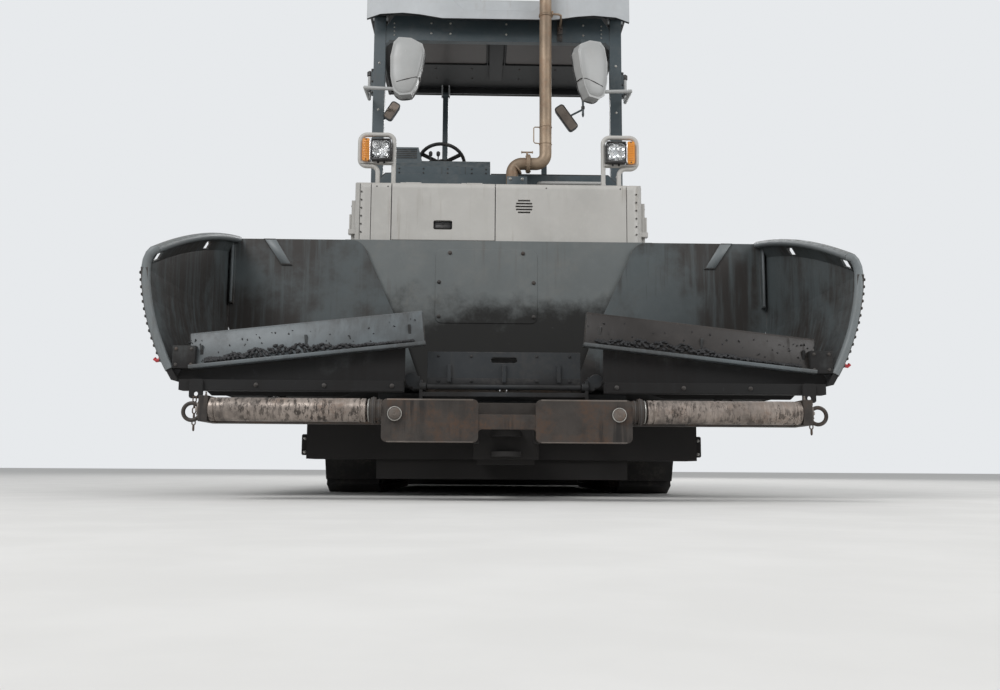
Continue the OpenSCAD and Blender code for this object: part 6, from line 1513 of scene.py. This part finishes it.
way = (LIFT_EYE - LIFT_ROOT).normalized()
up = Vector((0, -way.z, way.y))
for s in (-1, 1):
    root = Vector((s * LIFT_X, *LIFT_ROOT[1:]))
    glands(lift_parts, standing(root, way), ((0.052, 0.07, 0.0425), (0.44, 0.474, 0.0435)), 0.0402)
    pipe_beside(lift_parts, root, way, up, ((0.09, 0.039), (0.09, 0.056), (0.11, 0.06), (0.41, 0.06),
                                            (0.43, 0.056), (0.43, 0.039)), 0.012)
lift_parts.piece("lift_glands", dark_bolt, "cast", "lift_barrels", 50)

# Augers: bolts on the flights and clamps on the shaft
for s, side in SIDES:
    flight_bolts = Shape()
    for i in range(0, 56, 3):
        a, h = radians(i * 15), i / 24 * 0.28
        x = 0.066 + 0.02 + h + 0.007
        if x > 0.73:
            continue
        for r in (0.105, 0.135):
            at = (s * x, 1.52 + r * sin(a), 0.32 - r * cos(a))
            flight_bolts.bolt(at, (s, 0, 0), 0.007, False)
    flight_bolts.ring((s * 0.775, 1.52, 0.32), ACROSS, 0.023, 0.01, 28, 8)
    flight_bolts.piece("flight_bolts_" + side, dark_bolt, "cast", "auger_" + side)

# Screed: bolts, clamps, walkway tread, control boxes with guards, crank handles
main_parts = Shape()
main_parts.bolts(steps(-0.84, 0.14, 13), 1.7, 0.15, AHEAD, 0.011)
main_parts.bolts(steps(-0.84, 0.14, 13), 1.7, 0.29, AHEAD, 0.009)
for s, sy in ((-1, 2.155), (1, 2.285)):
    for x in (s * 0.21 - 0.18, s * 0.21 + 0.18):
        main_parts.ring((x, sy, 0.43), ACROSS, 0.054, 0.012, 40, 8)
    main_parts.bolts((s * 0.06, s * 0.34), 1.965, 0.5, UP, 0.012)
for x in (-0.62, -0.22, 0.22, 0.62):
    main_parts.box((x - 0.11, 1.775, 0.4), (x + 0.11, 1.895, 0.424), 0.006)
    main_parts.tube([(x - 0.045, 1.835, 0.423), (x - 0.045, 1.835, 0.44), (x + 0.045, 1.835, 0.44),
                     (x + 0.045, 1.835, 0.423)], 0.009, 8)
    main_parts.bolts((x - 0.095, x + 0.095), 1.79, 0.424, UP, 0.007)
main_parts.piece("screed_fittings", dark_bolt, "cast", "screed")
CRANK = (0.925, 2.2)
for s, side in SIDES:
    walk, box_parts, keys, crank = shapes(4)
    for i in range(14):
        for j in range(2):
            lozenge(walk, s * (0.06 + i * 0.06), 2.402 + j * 0.055, 0.22, i + j)
    walk.bolts(steps(s * 0.1, s * 0.15, 6), 2.37, 0.14, BEHIND, 0.01)
    lo, hi = sorted((s * 0.676, s * 0.884))
    for x in (lo, hi):
        box_parts.tube([(x, 2.388, 1.01), (x, 2.386, 1.176), (x, 2.492, 1.096), (x, 2.492, 1.004)], 0.014, 10)
    box_parts.tube([(lo, 2.386, 1.176), (hi, 2.386, 1.176)], 0.014, 10)
    box_parts.bar((s * 0.8, 2.45, 0.965), "Z", 1.000, 0.052, 24, r=0.006)
    lid = shift(s * 0.78, 2.39, 1.17) @ turned(-38.66, "X")
    for i in range(5):
        for j in range(2):
            at = (-0.07 + i * 0.035, 0.03 + j * 0.045, -0.001)
            keys.bar(at, "Z", 0.008, 0.018, 16, r=0.002, matrix=lid)
    box_parts.box((-0.08, 0.1, -0.001), (0.08, 0.118, 0.003), 0.001, matrix=lid)
    crank.bar((s * CRANK[0], CRANK[1], 0.34), "Z", 0.56, 0.018, 16, r=0.002)
    crank.bar((s * CRANK[0], CRANK[1], 0.33), "Z", 0.38, 0.034, 6)
    crank.tube([(s * CRANK[0], CRANK[1], 0.556), (s * CRANK[0], 2.29, 0.556)], 0.012, 10)
    crank.bar((s * CRANK[0], 2.288, 0.548), "Z", 0.64, 0.024, 18, r=0.005)
    crank.bolts(s * 0.935, (1.46, 1.7, 1.94, 2.18, 2.34), 0.05, (s, 0, 0), 0.012)
    walk.piece("walkway_tread_" + side, slate_low, "slate_paint", "screed_" + side)
    box_parts.piece("control_guard_" + side, black_plastic, "black_plastic", "screed_" + side, 50)
    keys.piece("control_keys_" + side, button_grey, "grey_plastic", "screed_" + side)
    crank.piece("crank_" + side, dark_bolt, "cast", "screed_" + side)
